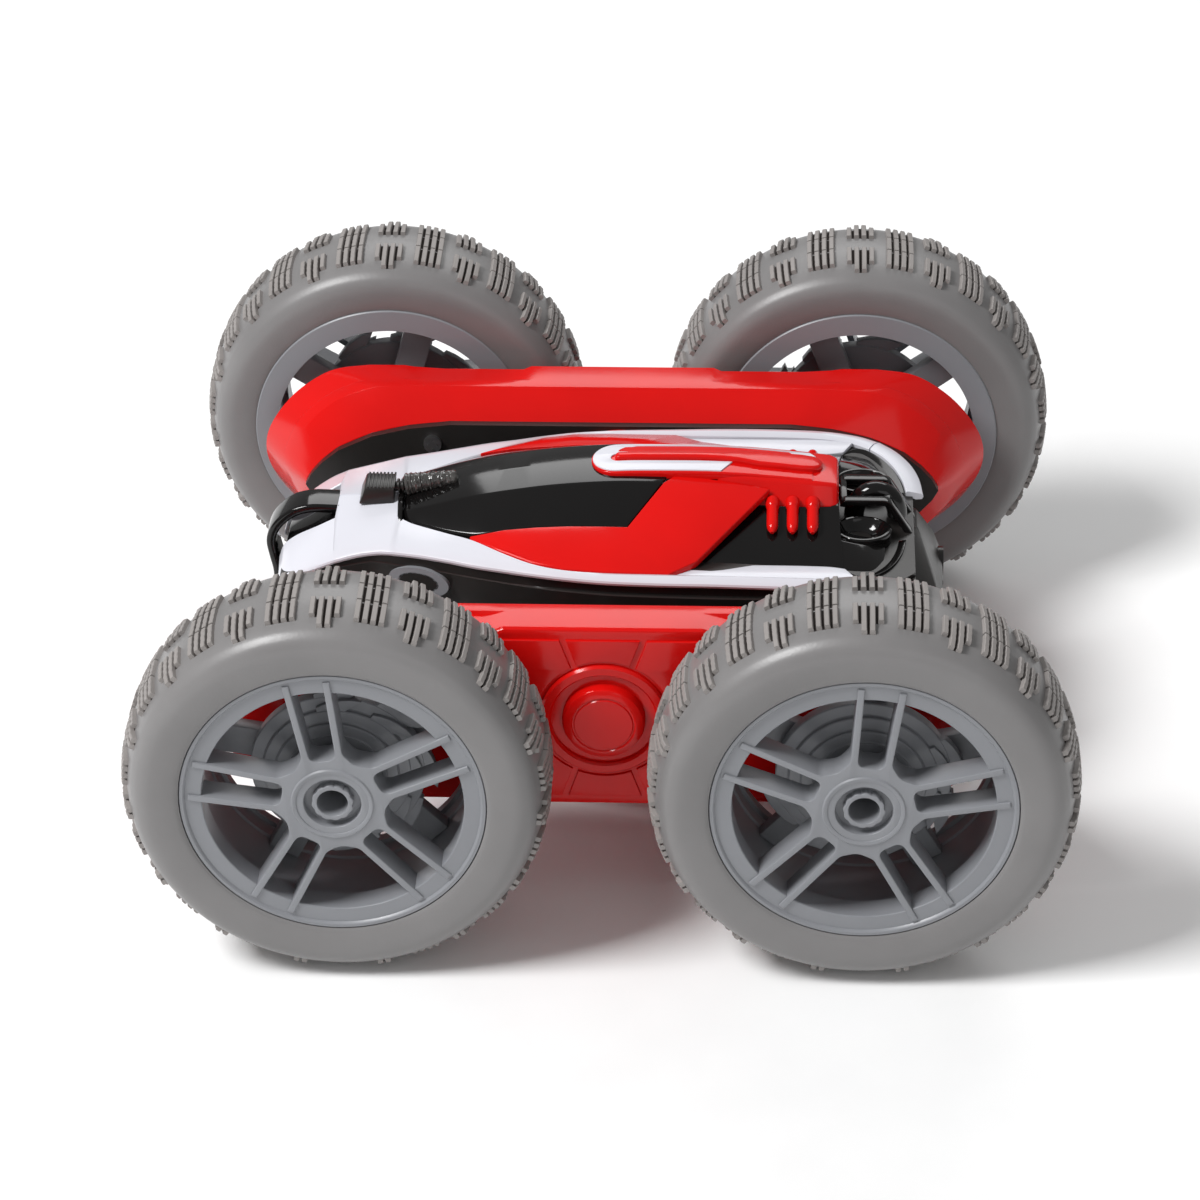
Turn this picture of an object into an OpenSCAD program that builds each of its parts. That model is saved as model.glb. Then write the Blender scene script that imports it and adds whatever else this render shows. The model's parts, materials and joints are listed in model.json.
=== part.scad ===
// Double-sided remote control stunt car.
// The origin is on the ground under the middle of the car. The nose points to -X, the left side is -Y, Z is up.
// The car is the same above and below its middle plane, so it drives either way up, and the two arms that carry
// the wheels turn all the way round the body on one cross axis.

/* [Wheels] */
// Radius of a tyre over its tread blocks
tyre_r = 39; // [38:0.5:41]
// Height of the tread blocks
tread_h = 0.8; // [0.4:0.1:1]
// Number of tread blocks round a tyre
tread_count = 30; // [24:2:36]
// Width of a tyre
tyre_w = 24; // [23:0.5:26]
// Distance from the middle of the car to the outer face of a tyre
half_track = 78; // [78:0.5:80]
// Number of double spokes in a rim
spoke_count = 5; // [4:1:6]

/* [Gears] */
// Gear module
gear_module = 1; // [0.98:0.01:1.02]
// Teeth on the drive gear and on each idler
large_teeth = 25; // [25]
// Teeth on each wheel gear
small_teeth = 20; // [20]
// Face width of the gears
gear_w = 4; // [3:0.5:4]
// Play between the flanks of two meshing teeth
backlash = 0.2; // [0.1:0.05:0.3]

/* [Arms] */
// Distance from the middle of the car to the outer face of an arm
arm_face = 48.6; // [48.4:0.1:49]
// Half height of an arm
arm_half_h = 19.5; // [19.5:0.1:20]
// Wall thickness of the arm covers
arm_wall = 1.6; // [1.2:0.1:1.8]

/* [Body] */
// Thickness of the body panels
skin_t = 1.6; // [1.2:0.1:1.8]
// Height of the white side stripe
stripe_h = 2.4; // [2:0.1:2.8]
// Gap between neighbouring panels
panel_gap = 0.15; // [0.1:0.05:0.3]

/* [Fits] */
// Radius of a wheel axle
axle_r = 2; // [1.9:0.05:2.1]
// Radius of a motor shaft
shaft_r = 1.5; // [1.4:0.05:1.6]
// Radius of the tube that an arm turns on
pivot_r = 6; // [5.9:0.05:6.1]
// Radial clearance of a running fit
run_fit = 0.05; // [0.03:0.01:0.08]
// Radius of the round socket in a wheel hub
hub_socket_r = 2.8; // [2.6:0.1:3]
// Radius of the charging socket's bore
charge_r = 1.75; // [1.6:0.05:1.8]
// Travel of the power switch
switch_travel = 2.4; // [2:0.1:2.4]

/* [Hidden] */
$fn = 64;

red = "crimson";
white = "whitesmoke";
black = "#161618";
grey = "#8f9195";
tyre_grey = "#7e7d80";
steel = "silver";
nylon = "ivory";

// A small overlap that lets a cut run past a face
over = 0.5;

// Gears: pitch radii, and the places that follow from them
large_pitch_r = gear_module * large_teeth / 2;
small_pitch_r = gear_module * small_teeth / 2;
idler_x = 2 * large_pitch_r;
wheel_x = idler_x + large_pitch_r + small_pitch_r;
gear_y = 41;

// Wheels: axial places are measured outwards from the tyre's inner face
wheel_y = half_track - tyre_w;
tread_r = tyre_r - tread_h;
bead_r = tyre_r - 11.3;
barrel_r = bead_r - 1.2;
ring_in_r = bead_r - 4.1;
rim_face = tyre_w - 1;
hub_r = 7.6;
axle_end = 15;
tread_w = 20;
claw_count = 5;
claw_pitch = 42;
half_tooth = 180 / small_teeth;

// Arms: half of the side outline, from the flat top to the tip, as [x, height above the middle]
arm_outline = [[wheel_x + 3.5, arm_half_h], [wheel_x + 9.5, 18.7], [wheel_x + 13.7, 16.9], [wheel_x + 18.5, 13.2],
               [wheel_x + 22.2, 8.8], [wheel_x + 24.7, 4.3], [wheel_x + 25.5, 0]];
arm_crease = [[40, arm_half_h - 0.2], [wheel_x + 0.5, 19], [wheel_x + 4.5, 18], [wheel_x + 9.6, 15.7],
              [wheel_x + 15.3, 10.6], [wheel_x + 18.1, 5], [wheel_x + 19.7, 0]];
arm_inner_edge = [[34, 14.1], [wheel_x - 5.2, 13.1], [wheel_x + 2.3, 11.2], [wheel_x + 9.1, 7.9],
                  [wheel_x + 12.5, 5], [wheel_x + 14.8, 2.3], [wheel_x + 16, 0]];
crease_y = 40;
arm_inner_y = 35;
arm_base_t = 1.6;
arm_screw_x = 37.5;
arm_screw_z = 10;
arm_screw_r = 0.9;
arm_boss_r = 7.6;
arm_boss_h = 2.4;
collar_r = 16;
collar_y = 30.5;
tube_ends = [24.4, 38.4];
clip_y = 36;
motor_r = 10;
motor_ends = [1.2, 21.7];

// Body: lines along its length as [x, value], with heights counted from the middle plane
half_width_line = [[-66, 10], [-60, 15.4], [-50, 16.7], [-42, 17.4], [-30, 20.9], [-20, 23.9], [-8, 26.6],
                   [6, 28.2], [25, 28.8], [42, 28.8], [50, 27.6], [56, 24], [60, 18]];
shoulder_line = [[-66, 6], [-60, 10.5], [-50, 14.5], [-44, 16.2], [0, 16.7], [42, 16.3], [50, 15.4], [60, 12.8]];
crown_line = [[-66, 9], [-62, 15.6], [-56, 17.8], [-44, 18.2], [-40, 18.6], [-30, 21], [-20, 23.6],
              [-10, 25.2], [-3, 25.8], [6, 25.3], [14, 24], [28, 22], [44, 19], [60, 14]];
canopy_half_line = [[-66, 3.6], [-50, 5.4], [-42, 6], [-38, 7.6], [-30, 12.3], [-25, 14], [-10, 13.9], [60, 14.1]];
canopy_edge_line = [[-66, 8], [-60, 14.6], [-50, 17], [-38, 17.4], [-25, 18.5], [-10, 20.7], [0, 20.9],
                    [28, 20], [60, 13.6]];
stations = [-66, -62, -60, -56, -50, -44, -40, -36, -30, -25, -20, -14, -8, -3, 3, 8, 14, 20, 28, 36, 42,
            46, 50, 54, 57, 60];
body_mid = tyre_r;
shell_ends = [-66, 60];
chassis_ends = [-63.5, 57.5];
deck_t = 1.6;

// Plan outlines on the right side (+Y), front to rear
canopy_plan = [[-40, 6.4], [-38, 8.6], [-35, 10.5], [-30, 13.3], [-26, 15], [-20, 14.6], [-10, 14.7], [2, 15.5],
               [12, 4]];
window_plan = [[-40.4, 6.6], [-38.3, 8.7], [-35, 10.7], [-30.4, 13.4], [-26, 16], [-20.5, 19.7], [-14.6, 23.2],
               [-8.6, 25], [-1, 25.5], [41, 25.7], [49, 23.7], [53, 20.3], [55, 11]];
panel_rear_plan = [[14, 25.6], [18, 22], [26, 13.2]];
notch_plan = [[-70, 4.4], [-61.5, 5], [-52.5, 6.7]];

// Spoiler, the block under it, and the rear bumper with its switch and charging socket
spoiler_half_w = 4.3;
spoiler_h = 26;
spoiler_t = 2;
block_ends = [26.5, 43];
pipe_h = 20.6;
tray_h = 14.4;
hood_section = [[8.2, tray_h + 0.3], [20.9, tray_h + 0.3], [20.9, 15.7], [15, 17.6], [8.2, 18.9]];
bumper_x = 57.7;
switch_y = -6;
switch_rest_y = switch_y - switch_travel / 2;
charge_y = 7;
charge_len = 6.1;

// Shell fixing points
case_screw_points = [[-55, 9], [-55, -9], [53, 17], [53, -17]];
case_screw_r = 1;
pi_unit = 180 / PI;

// ---------- helpers ----------

// The points of one side followed by their mirror image, as a closed outline
function both_sides(points) = concat(points, [for (i = [len(points) - 1:-1:0]) [points[i][0], -points[i][1]]]);

// An arm outline from its upper rear quarter, pulled in by inset
function quarter_inset(quarter, inset) = [for (p = quarter) [p[0] - inset * 0.75, max(p[1] - inset, 0)]];
function arm_loop(quarter, inset) = let (q = quarter_inset(quarter, inset), n = len(q)) concat(
    q,
    [for (i = [n - 2:-1:0]) [q[i][0], -q[i][1]]],
    [for (i = [0:n - 1]) [-q[i][0], -q[i][1]]],
    [for (i = [n - 2:-1:0]) [-q[i][0], q[i][1]]]
);

// Cross-section of the upper body at x, as [y, height], from its right lower edge over the top to the left
function crown_arc(half, edge, top) = [for (a = [25:25:75]) [half * cos(a), edge + (top - edge) * sin(a)]];
function skin_half(x, inset, drop) = let (
    w = lookup(x, half_width_line) - inset,
    h = lookup(x, shoulder_line),
    ch = min(lookup(x, canopy_half_line), w - 3),
    ce = max(lookup(x, canopy_edge_line), h + 0.8) - inset,
    top = lookup(x, crown_line) - inset
) concat(
    [[w, h - stripe_h - drop], [w, h - inset * 0.8], [w - 2.5 + inset * 0.4, h + 0.6 - inset], [ch, ce]],
    crown_arc(ch, ce, top)
);
function skin_section(x, inset, drop) = let (half = skin_half(x, inset, drop)) concat(
    half,
    [[0, lookup(x, crown_line) - inset]],
    [for (i = [len(half) - 1:-1:0]) [-half[i][0], half[i][1]]]
);

// Cross-section of a chassis half: sides that lean in to the middle plane, and a flat deck
function chassis_section(x, inset, drop) = let (
    w = lookup(x, half_width_line) - 0.6,
    top = lookup(x, shoulder_line) - stripe_h - 0.05 - inset
) [[w * 0.92 - inset, -drop], [w - inset, top], [-w + inset, top], [-w * 0.92 + inset, -drop]];

// A solid through a row of cross-sections with the same number of points, at the given x places
module loft(places, sections) {
    n = len(sections[0]);
    last = len(places) - 1;
    points = [for (i = [0:last]) for (p = sections[i]) [places[i], p[0], p[1]]];
    sides = [for (i = [0:last - 1]) for (j = [0:n - 1]) let (k = (j + 1) % n)
        each [[i * n + j, (i + 1) * n + j, (i + 1) * n + k], [i * n + j, (i + 1) * n + k, i * n + k]]];
    front = [[for (j = [0:n - 1]) j]];
    back = [[for (j = [n - 1:-1:0]) last * n + j]];
    polyhedron(points, concat(sides, front, back));
}

// The stations between two ends, with the ends themselves
function between(ends) = concat(ends[0], [for (x = stations) if (x > ends[0] + 0.3 && x < ends[1] - 0.3) x], ends[1]);

module upper() translate([0, 0, body_mid]) children();
module lower() translate([0, 0, body_mid]) rotate([180, 0, 0]) children();
module left() mirror([0, 1, 0]) children();

// Turns local x, y, z into the car's x, z, y, so that local z points out from the car's right side
module outwards(x = 0, y = 0) translate([x, y, body_mid]) rotate([90, 0, 0]) mirror([0, 0, 1]) children();

module bar(p, q, r) {
    d = q - p;
    translate(p) rotate([0, acos(d[2] / norm(d)), atan2(d[1], d[0])]) cylinder(h = norm(d), r = r, $fn = 24);
}

// ---------- gears ----------

// Point on the involute of base radius base_r at radius r, turned by angle turn, on the side given by sign
function involute_angle(base_r, r) = let (t = sqrt(max(pow(r / base_r, 2) - 1, 0))) t * pi_unit - atan(t);
function gear_points(teeth) = let (
    pitch_r = gear_module * teeth / 2,
    base_r = pitch_r * cos(20),
    tip_r = pitch_r + gear_module,
    root_r = pitch_r - 1.25 * gear_module,
    half = 90 / teeth - backlash / 2 / pitch_r * pi_unit + involute_angle(base_r, pitch_r),
    start_r = max(base_r, root_r),
    steps = 4
) [for (k = [0:teeth - 1]) each concat(
    [polar(root_r, k * 360 / teeth - half - 1)],
    [for (i = [0:steps]) let (r = start_r + (tip_r - start_r) * i / steps)
        polar(r, k * 360 / teeth - half + involute_angle(base_r, r))],
    [for (i = [steps:-1:0]) let (r = start_r + (tip_r - start_r) * i / steps)
        polar(r, k * 360 / teeth + half - involute_angle(base_r, r))],
    [polar(root_r, k * 360 / teeth + half + 1)]
)];
function polar(r, a) = [r * cos(a), r * sin(a)];

module gear(teeth, bore_r, turn) {
    difference() {
        rotate(turn) linear_extrude(gear_w) polygon(gear_points(teeth));
        translate([0, 0, -over]) cylinder(h = gear_w + 2 * over, r = bore_r);
    }
}

// ---------- body ----------

module chassis_half() {
    places = between(chassis_ends);
    inner_places = between([chassis_ends[0] + deck_t, chassis_ends[1] - deck_t]);
    difference() {
        union() {
            difference() {
                loft(places, [for (x = places) chassis_section(x, 0, 0)]);
                loft(inner_places, [for (x = inner_places) chassis_section(x, deck_t, 1)]);
            }
            for (p = case_screw_points) translate([p[0], p[1], 0]) cylinder(h = 9, r = 3, $fn = 32);
        }
        for (p = case_screw_points) translate([p[0], p[1], -1]) cylinder(h = 20, r = case_screw_r, $fn = 24);
        for (p = case_screw_points) translate([p[0], p[1], 8]) cylinder(h = 10, r = 2.1, $fn = 24);
        rotate([90, 0, 0]) cylinder(h = 80, r = pivot_r + 0.1, center = true);
    }
}

module upper_chassis() color(black) upper() chassis_half();
module lower_chassis() color(black) lower() chassis_half();

// The body's outer skin between two places along its length, closed only at the shell's rear end
module skin(ends) {
    rear = ends[1] < shell_ends[1] ? ends[1] + 1 : ends[1] - skin_t;
    outer = between(ends);
    inner = between([ends[0] - 1, rear]);
    difference() {
        loft(outer, [for (x = outer) skin_section(x, 0, 0)]);
        loft(inner, [for (x = inner) skin_section(x, skin_t, 6)]);
    }
}

module plan_cut(half_outline) translate([0, 0, -10]) linear_extrude(60) polygon(both_sides(half_outline));

module shell() {
    difference() {
        skin([shell_ends[0] - 1, shell_ends[1]]);
        plan_cut(window_plan);
        plan_cut(notch_plan);
        translate([shell_ends[0] - 20, -50, -20]) cube([20, 100, 60]);
    }
}

module canopy() {
    intersection() {
        skin([-44, 14]);
        plan_cut([for (p = canopy_plan) [p[0], p[1] - panel_gap]]);
    }
}

module side_panels() {
    front = [for (p = window_plan) if (p[0] >= -26 && p[0] <= 0) [p[0] + panel_gap, p[1] - panel_gap]];
    rear = [for (p = panel_rear_plan) [p[0], p[1] - panel_gap]];
    difference() {
        intersection() {
            skin([-30, 30]);
            plan_cut(concat(front, rear));
        }
        plan_cut([for (p = canopy_plan) [p[0] + panel_gap, p[1] + panel_gap]]);
    }
}

module upper_shell() color(white) upper() shell();
module lower_shell() color(white) lower() shell();
module upper_canopy() color(black) upper() canopy();
module lower_canopy() color(black) lower() canopy();
module upper_side_panels() color(red) upper() side_panels();
module lower_side_panels() color(red) lower() side_panels();

module spoiler() {
    translate([0, 0, spoiler_h]) linear_extrude(spoiler_t)
        polygon([[-2.5, -spoiler_half_w], [36, -spoiler_half_w], [36, spoiler_half_w], [-2.5, spoiler_half_w],
                 [-4, 2.5], [-4, -2.5]]);
    hull() {
        translate([block_ends[0], -8, 15.6]) cube([block_ends[1] - block_ends[0], 16, 8]);
        translate([block_ends[0] + 1.5, -6.2, 15.6])
            cube([block_ends[1] - block_ends[0] - 4, 12.4, spoiler_h - 15.6]);
    }
}

// A U-shaped stripe whose left branch is the shorter one
module stripe() {
    translate([0, 0, spoiler_h + spoiler_t]) linear_extrude(0.4)
        polygon([[-2.6, -2.4], [-1.8, -3.9], [21, -3.9], [19.5, -2], [0.5, -2], [-0.4, -1.2], [-0.4, 1.2],
                 [0.5, 2], [33, 2], [35, 3.9], [-1.8, 3.9], [-2.6, 2.4]]);
}

module pipes() {
    for (x = [30.5:3.8:38.1]) for (side = [-1, 1]) translate([x, side * 8.3, pipe_h]) rotate([-side * 99, 0, 0])
        difference() {
            cylinder(h = 7, r = 1.3, $fn = 32);
            translate([0, 0, 5]) cylinder(h = 3, r = 0.85, $fn = 32);
        }
}

module upper_spoiler() color(red) upper() spoiler();
module lower_spoiler() color(red) lower() spoiler();
module spoiler_stripes() color(white) {
    upper() stripe();
    lower() mirror([0, 1, 0]) stripe();
}
module exhaust_pipes() color(red) {
    upper() pipes();
    lower() pipes();
}

// Engine tray with its hood, roll cage, tow arch, intake bowls and braces, behind the spoiler
module engine() {
    tray_plan = [for (p = window_plan) if (p[0] >= 40) [p[0] - 0.6, p[1] - 0.6]];
    floor_h = tray_h + 0.8;
    cage_y = 3.9;
    cage = [[43.9, floor_h], [43.9, 20.2], [52.2, 20.2], [53.8, floor_h]];
    translate([0, 0, tray_h]) linear_extrude(1) polygon(both_sides(concat([[16, 23.4], [20, 24.9]], tray_plan)));
    intersection() {
        translate([49.2, 0, tray_h + 0.6]) rotate([90, 0, 0]) rotate_extrude() translate([2.9, 0]) circle(r = 1.5, $fn = 24);
        translate([44, -2, tray_h + 0.5]) cube([12, 4, 8]);
    }
    for (side = [-1, 1]) {
        for (i = [0:len(cage) - 2])
            bar([cage[i][0], side * cage_y, cage[i][1]], [cage[i + 1][0], side * cage_y, cage[i + 1][1]], 0.8);
        for (p = [cage[1], cage[2]]) translate([p[0], side * cage_y, p[1]]) sphere(r = 1.2, $fn = 24);
        mirror([0, side < 0 ? 1 : 0, 0]) translate([27, 0, 0]) rotate([90, 0, 90]) linear_extrude(16.4)
            polygon(hood_section);
        translate([47.2, side * 8.8, floor_h - 0.2]) difference() {
            cylinder(h = 2.6, r = 4.2);
            translate([0, 0, 1]) cylinder(h = 3, r = 3.3);
        }
        bar([49, side * 22, floor_h + 0.4], [52, side * 8.5, floor_h + 1.4], 0.8);
        bar([49, side * 22, floor_h + 0.4], [43, side * 14, 17.8], 0.8);
        translate([49, side * 22, floor_h + 0.4]) sphere(r = 1.2, $fn = 24);
    }
    translate([cage[1][0] - 0.6, -cage_y, cage[1][1] - 0.5]) cube([1.2, 2 * cage_y, 1]);
}

module upper_engine() color(black) upper() engine();
module lower_engine() color(black) lower() engine();

// Tow guard that arches over the front of the nose, with an inset plate at each end
module nose_guard() color(black) upper() {
    outer = [[-52.7, 18.6], [-59, 18.4], [-63.4, 16.6], [-66.2, 12.5], [-67, 8], [-66.7, 3]];
    inner = [[-64.2, 3], [-64.3, 8], [-63.6, 11.4], [-61.6, 14.2], [-58.4, 15.9], [-52.7, 16.1]];
    half = concat(outer, inner);
    rotate([90, 0, 0]) translate([0, 0, -3.5]) linear_extrude(7) {
        polygon(half);
        mirror([0, 1]) polygon(half);
        translate([-66.7, -3]) square([2.5, 6]);
    }
    for (flip = [0, 1]) mirror([0, 0, flip]) translate([0, 0, 14.6]) linear_extrude(1.7)
        polygon(both_sides([[-61, 4.6], [-53, 6.2]]));
}

module winch() {
    translate([-48, -3.5, 18.5]) cube([6.5, 7, 1.4]);
    for (i = [0:2]) translate([-47.6 + 2.2 * i, -3.1, 18.5]) cube([1.3, 6.2, 2.4]);
    translate([-42, 0, 20.1]) rotate([0, 90, 0]) cylinder(h = 2.5, r = 1.2, $fn = 24);
    translate([-40, 0, 20.4]) rotate([0, 80, 0]) cylinder(h = 11, r1 = 1.7, r2 = 0.7, $fn = 32);
}

module winches() color(black) {
    upper() winch();
    lower() winch();
}

module rear_bumper() color(black) upper() {
    difference() {
        hull() {
            translate([bumper_x, -17, -10]) cube([1, 34, 20]);
            translate([bumper_x, -14, -6]) cube([6, 28, 12]);
        }
        translate([bumper_x + 1.3, switch_y - 4, -2.6]) cube([2.4, 8, 5.2]);
        translate([bumper_x, switch_y - 2.9, -1.4]) cube([10, 5.8, 2.8]);
        translate([bumper_x - 1, charge_y, 0]) rotate([0, 90, 0]) cylinder(h = 12, r = 3, $fn = 48);
    }
}

module power_switch() color(white) upper() {
    translate([bumper_x + 1.6, switch_rest_y - 2.5, -2.2]) cube([1.8, 5, 4.4]);
    translate([bumper_x + 3.2, switch_rest_y - 1.3, -1.1]) cube([3.4, 2.6, 2.2]);
}

module charge_socket() color(steel) upper()
    translate([bumper_x - 0.1, charge_y, 0]) rotate([0, 90, 0]) difference() {
        cylinder(h = charge_len, r = 3, $fn = 48);
        translate([0, 0, 0.6]) cylinder(h = charge_len, r = charge_r, $fn = 48);
    }

module battery_pack() color("royalblue") upper() for (side = [-1, 1])
    translate([-46, side * 5.7, 0]) rotate([0, 90, 0]) cylinder(h = 30, r = 5.6, $fn = 48);

module circuit_board() color("darkgreen") upper() {
    translate([16, -18, 4]) cube([30, 36, 1.6]);
    translate([20, -12, 5]) cube([9, 9, 2.2]);
    translate([34, 2, 5]) cube([6, 12, 3]);
    translate([34, -12, 5]) cube([5, 5, 4]);
}

module motor() outwards() {
    difference() {
        union() {
            translate([0, 0, motor_ends[0]]) cylinder(h = motor_ends[1] - motor_ends[0], r = motor_r);
            translate([0, 0, motor_ends[1] - 0.2]) cylinder(h = 4.5, r = 3.6);
        }
        translate([0, 0, 5]) cylinder(h = 30, r = shaft_r + run_fit);
    }
}

module right_motor() color(steel) motor();
module left_motor() color(steel) left() motor();

module case_screws() color(steel) upper() for (p = case_screw_points) translate([p[0], p[1], -9.6]) {
    cylinder(h = 18, r = case_screw_r, $fn = 24);
    difference() {
        cylinder(h = 1.6, r = 2, $fn = 24);
        for (turn = [0, 90]) rotate(turn) translate([-1.3, -0.25, -over]) cube([2.6, 0.5, 1.3]);
    }
}

// ---------- arm pivots ----------

module pivot_tubes() color(black) for (side = [0, 1]) mirror([0, side, 0]) outwards() difference() {
    union() {
        translate([0, 0, tube_ends[0]]) cylinder(h = tube_ends[1] - tube_ends[0], r = pivot_r);
        translate([0, 0, 28.4]) cylinder(h = 1.4, r = 9);
    }
    translate([0, 0, 20]) cylinder(h = 30, r = pivot_r - 2);
}

module pivot_clips() color(steel) for (side = [0, 1]) mirror([0, side, 0]) outwards() difference() {
    translate([0, 0, clip_y]) cylinder(h = 1.2, r = pivot_r + 2.5);
    translate([0, 0, clip_y - 1]) cylinder(h = 4, r = pivot_r);
}

// ---------- arms ----------

// A slab of an arm outline, thin enough to act as one layer of a hull
module arm_layer(quarter, inset, y) translate([0, 0, y]) linear_extrude(0.01) polygon(arm_loop(quarter, inset));

module arm_body(inset, face, inner_y) hull() {
    arm_layer(arm_outline, inset + 0.6, face - 0.01);
    arm_layer(arm_outline, inset, face - 0.6);
    arm_layer(arm_crease, inset, crease_y);
    arm_layer(arm_inner_edge, inset, inner_y);
}

module arm_cover() outwards() difference() {
    union() {
        difference() {
            arm_body(0, arm_face, arm_inner_y);
            arm_body(arm_wall, arm_face - arm_wall, arm_inner_y - 0.02);
        }
        for (x = [-wheel_x, wheel_x]) translate([x, 0, arm_face - 3]) cylinder(h = 4.4, r = 4.4);
        for (x = [-arm_screw_x, arm_screw_x]) for (z = [-arm_screw_z, arm_screw_z])
            translate([x, z, arm_inner_y + 0.1]) cylinder(h = arm_face - arm_inner_y - 0.7, r = 2.1, $fn = 32);
        translate([0, 0, arm_face - 0.3]) rotate_extrude()
            polygon([[9.2, 0], [12, 0], [11.6, 0.9], [9.6, 0.9]]);
        translate([0, 0, arm_face - 0.3]) cylinder(h = arm_boss_h + 0.3, r = arm_boss_r);
    }
    for (x = [-wheel_x, wheel_x]) translate([x, 0, arm_face - 5]) cylinder(h = 10, r = axle_r + run_fit);
    for (x = [-arm_screw_x, arm_screw_x]) for (z = [-arm_screw_z, arm_screw_z])
        translate([x, z, arm_inner_y]) cylinder(h = 8, r = arm_screw_r, $fn = 24);
}

module arm_base() outwards() {
    base_y = arm_inner_y - arm_base_t;
    difference() {
        union() {
            translate([0, 0, base_y]) linear_extrude(arm_base_t) polygon(arm_loop(arm_inner_edge, 0));
            for (x = [-wheel_x, wheel_x]) translate([x, 0, base_y]) cylinder(h = 7, r = 4);
        }
        translate([0, 0, base_y - over]) cylinder(h = 5, r = pivot_r + run_fit);
        for (x = [-wheel_x, wheel_x]) translate([x, 0, base_y + 1]) cylinder(h = 10, r = axle_r + run_fit);
        for (x = [-arm_screw_x, arm_screw_x]) for (z = [-arm_screw_z, arm_screw_z])
            translate([x, z, base_y - over]) cylinder(h = 5, r = arm_screw_r + 0.2, $fn = 24);
    }
    for (x = [-idler_x, idler_x]) translate([x, 0, arm_inner_y - 0.1]) cylinder(h = 11, r = shaft_r);
}

module hub_collar() outwards() translate([0, 0, collar_y]) rotate_extrude()
    polygon([[pivot_r + 0.5, 0], [collar_r - 1.4, 0], [collar_r, 1.2], [collar_r, arm_inner_y - arm_base_t - collar_y],
             [pivot_r + 0.5, arm_inner_y - arm_base_t - collar_y]]);

module arm_screws() outwards() for (x = [-arm_screw_x, arm_screw_x]) for (z = [-arm_screw_z, arm_screw_z])
    translate([x, z, arm_inner_y - arm_base_t - 1]) {
        cylinder(h = 8, r = arm_screw_r, $fn = 24);
        difference() {
            cylinder(h = 1, r = 1.8, $fn = 24);
            for (turn = [0, 90]) rotate(turn) translate([-1.1, -0.2, -over]) cube([2.2, 0.4, 1.1]);
        }
    }

module drive_gear() outwards() {
    translate([0, 0, gear_y]) gear(large_teeth, shaft_r, 0);
    translate([0, 0, 7]) cylinder(h = gear_y + gear_w + 0.8 - 7, r = shaft_r);
}

module idler(x) outwards(x) translate([0, 0, gear_y]) gear(large_teeth, shaft_r + run_fit, 0);

module right_arm_cover() color(red) arm_cover();
module left_arm_cover() color(red) left() arm_cover();
module right_arm_base() color(black) arm_base();
module left_arm_base() color(black) left() arm_base();
module right_hub_collar() color(red) hub_collar();
module left_hub_collar() color(red) left() hub_collar();
module right_arm_screws() color(steel) arm_screws();
module left_arm_screws() color(steel) left() arm_screws();
module right_drive_gear() color(nylon) drive_gear();
module left_drive_gear() color(nylon) left() drive_gear();
module right_front_idler() color(nylon) idler(-idler_x);
module left_front_idler() color(nylon) left() idler(-idler_x);
module right_rear_idler() color(nylon) idler(idler_x);
module left_rear_idler() color(nylon) left() idler(idler_x);

// ---------- wheels ----------

module tyre() {
    side = tyre_w;
    shoulder_r = tread_r - 3.7;
    cavity_r = tread_r - 3.2;
    rotate_extrude() polygon([
        [bead_r + 0.6, 0.8], [bead_r + 2.4, 0.1], [shoulder_r, 0], [tread_r - 1.4, 0.9], [tread_r, 2.6],
        [tread_r, side - 2.6], [tread_r - 1.4, side - 0.9], [shoulder_r, side], [bead_r + 2.4, side - 0.1],
        [bead_r, side - 0.8], [bead_r, side - 3], [barrel_r, side - 3], [barrel_r, side - 5.5],
        [bead_r + 1.5, side - 5.5], [cavity_r, side - 4.5], [cavity_r, 5], [bead_r + 1.5, 4.5], [barrel_r, 4.5],
        [barrel_r, 1.5], [bead_r + 0.6, 1.5]]);
    difference() {
        translate([0, 0, (tyre_w - tread_w) / 2]) difference() {
            cylinder(h = tread_w, r = tyre_r);
            translate([0, 0, -over]) cylinder(h = tread_w + 2 * over, r = tread_r - 1);
        }
        for (k = [0:tread_count - 1]) rotate(k * 360 / tread_count)
            translate([tread_r, -1.1, -over]) cube([5, 2.2, tyre_w + 2 * over]);
    }
}

module double_spoke() for (side = [-1, 1]) translate([0, side * 2.6, 0]) rotate(side * 2.4)
    translate([7, -0.63, rim_face - 5.4]) cube([ring_in_r - 4.8, 1.26, 5.4]);

module rim(spoke_angle) {
    difference() {
        union() {
            rotate_extrude() polygon([
                [ring_in_r + 0.1, 0.2], [bead_r + 0.6, 0.2], [bead_r + 0.6, 1.5], [barrel_r, 1.5],
                [barrel_r, tyre_w - 3], [bead_r, tyre_w - 3], [bead_r, rim_face], [barrel_r, rim_face],
                [barrel_r - 0.4, rim_face - 0.5], [ring_in_r, rim_face - 0.5], [ring_in_r, rim_face - 5.5],
                [ring_in_r + 1.2, rim_face - 5.5], [ring_in_r + 1.2, 2.2], [ring_in_r + 0.1, 2.2]]);
            translate([0, 0, 1.5]) cylinder(h = rim_face - 1.5, r = hub_r);
            translate([0, 0, rim_face - 5.2]) cylinder(h = 4.6, r = hub_r + 1.7);
            for (k = [0:spoke_count - 1]) rotate(spoke_angle + k * 360 / spoke_count) {
                double_spoke();
                translate([5, -3, 5]) cube([ring_in_r - 4, 6, 3]);
            }
        }
        translate([0, 0, rim_face - 1.2]) rotate_extrude() polygon([[3.8, 0], [5.4, 0], [5.4, 3], [3.8, 3]]);
        translate([0, 0, -over]) cylinder(h = axle_end + over, r = axle_r);
        translate([0, 0, axle_end]) cylinder(h = 12, r = hub_socket_r);
    }
}

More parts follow.
